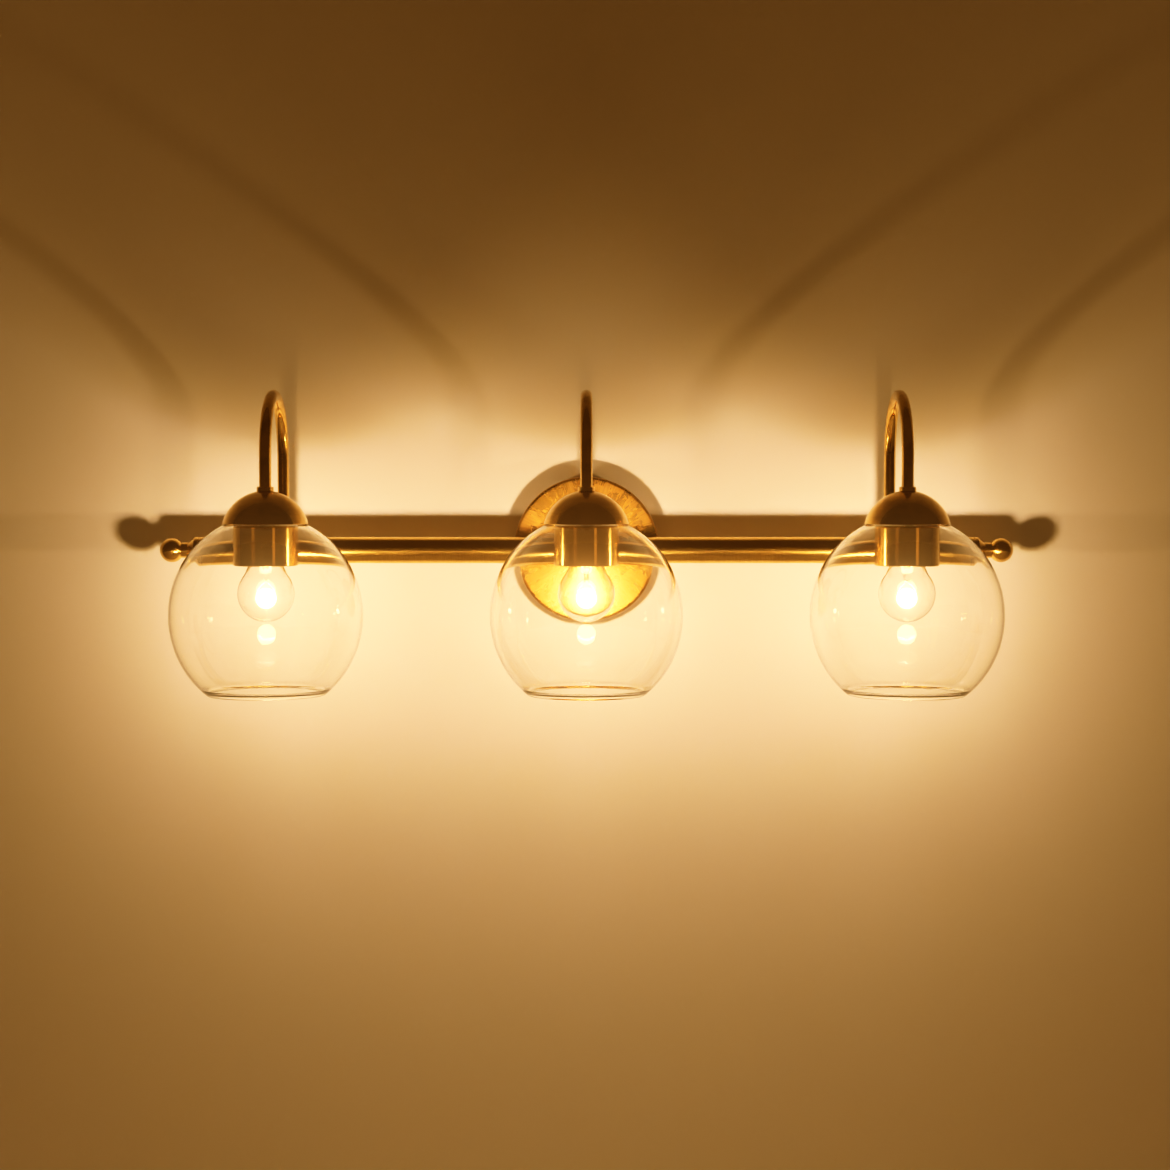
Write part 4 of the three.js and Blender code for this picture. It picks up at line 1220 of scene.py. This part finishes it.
def soft_light():
    soft_panel("panel_left", (-1.5, -1.9, 0.9), (0.5, 1.6), 2.4)
    soft_panel("panel_right", (1.3, -2.2, 0.5), (0.4, 1.4), 1.4)
    world = bpy.data.worlds.new("soft_room")
    world.use_nodes = True
    background = world.node_tree.nodes["Background"]
    background.inputs["Color"].default_value = ROOM_COLOUR
    background.inputs["Strength"].default_value = ROOM_STRENGTH
    bpy.context.scene.world = world


def one_sided(name, colour, roughness):
    """Pale matt paint that shows from its front only."""
    shade = Shader(name)
    tooth = shade.noise(shade.place((1, 1, 1)), 60.0, 3.0, 0.5)
    shade.set(
        Base_Color=(*colour, 1),
        Roughness=roughness,
        Specular_IOR_Level=0.2,
        Normal=shade.bump(tooth, 0.04, 0.0006),
    )
    side = shade.add("ShaderNodeNewGeometry")
    clear = shade.add("ShaderNodeBsdfTransparent")
    shade.give_way(side.outputs["Backfacing"], clear)
    return shade.material


def backdrop():
    """Wall just behind the light, and a floor well below it."""
    paint = one_sided("pale_backdrop", (0.80, 0.76, 0.70), 0.75)
    half, back, front, low = STAGE_HALF_WIDTH, WALL_FACE, -STAGE_DEPTH, FLOOR_HEIGHT
    corners = {
        "wall": [(-half, back, low), (half, back, low), (half, back, WALL_TOP), (-half, back, WALL_TOP)],
        "floor": [(-half, front, low), (half, front, low), (half, back, low), (-half, back, low)],
    }
    for name, places in corners.items():
        mesh = bpy.data.meshes.new(name)
        mesh.from_pydata(places, [], [(0, 1, 2, 3)])
        mesh.materials.append(paint)
        linked(name, mesh)


def camera():
    data = bpy.data.cameras.new("camera")
    data.lens = CAMERA_LENS
    data.sensor_width = 36
    data.clip_start = 0.05
    view = linked("camera", data)
    view.location = CAMERA_PLACE
    view.rotation_euler = (math.radians(90 - CAMERA_DIP), 0, math.radians(CAMERA_YAW))
    bpy.context.scene.camera = view


RED_TONE = ((0.3, 0.31), (0.7, 0.63), (1.16, 0.87), (1.6, 0.97), (4.0, 1.1))
GREEN_TONE = ((0.3, 0.3), (0.6, 0.59), (0.9, 0.76), (1.2, 0.86), (4.0, 1.1))
BLUE_TONE = (
    (0.036, 0.028), (0.085, 0.092), (0.139, 0.19), (0.22, 0.36), (0.4, 0.55), (1.6, 0.9), (4.0, 1.1),
)


def warm_tone():
    """Red flattens and blue comes up near the bulbs, as a camera shows warm lamps."""
    settings = bpy.context.scene.view_settings
    settings.view_transform = "Standard"
    settings.use_curve_mapping = True
    mapping = settings.curve_mapping
    mapping.use_clip = False
    for curve, tones in zip(mapping.curves, (RED_TONE, GREEN_TONE, BLUE_TONE)):
        curve.points[-1].location = tones[-1]
        for place in tones[:-1]:
            curve.points.new(*place)
    mapping.update()


def lens_glow():
    """The haze that a lens spreads round a lit bulb."""
    bpy.context.scene.use_nodes = True
    tree = bpy.context.scene.node_tree
    glare = tree.nodes.new("CompositorNodeGlare")
    glare.glare_type = "BLOOM"
    glare.quality = "HIGH"
    for socket, value in (("Threshold", 2.5), ("Strength", 0.25), ("Size", 0.25), ("Saturation", 1.0)):
        glare.inputs[socket].default_value = value
    tree.links.new(tree.nodes["Render Layers"].outputs["Image"], glare.inputs["Image"])
    tree.links.new(glare.outputs["Image"], tree.nodes["Composite"].inputs["Image"])


# ---------------------------------------------------------------- the whole light

canopy()
canopy_screws()
ground_screw()
eased_bracket()
stem()
stem_hardware()
bar_tube()
bar_ends()
for number, lamp_name in enumerate(LAMPS):
    arm(lamp_name, number)
    lead(lamp_name, number - 1)
    dome_cap(lamp_name, number)
    lampholder(lamp_name)
    cup(lamp_name, number)
    globe(lamp_name)
    bulb(lamp_name)
    bulb_light(lamp_name)
    coated(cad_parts[f"centre_contact_{lamp_name}"], stamped_brass)

soft_light()
backdrop()
camera()
warm_tone()
lens_glow()

scene = bpy.context.scene
scene.cycles.caustics_refractive = False
scene.cycles.sample_clamp_indirect = 30
scene.cycles.max_bounces = 20
scene.cycles.transmission_bounces = 18
scene.cycles.transparent_max_bounces = 24
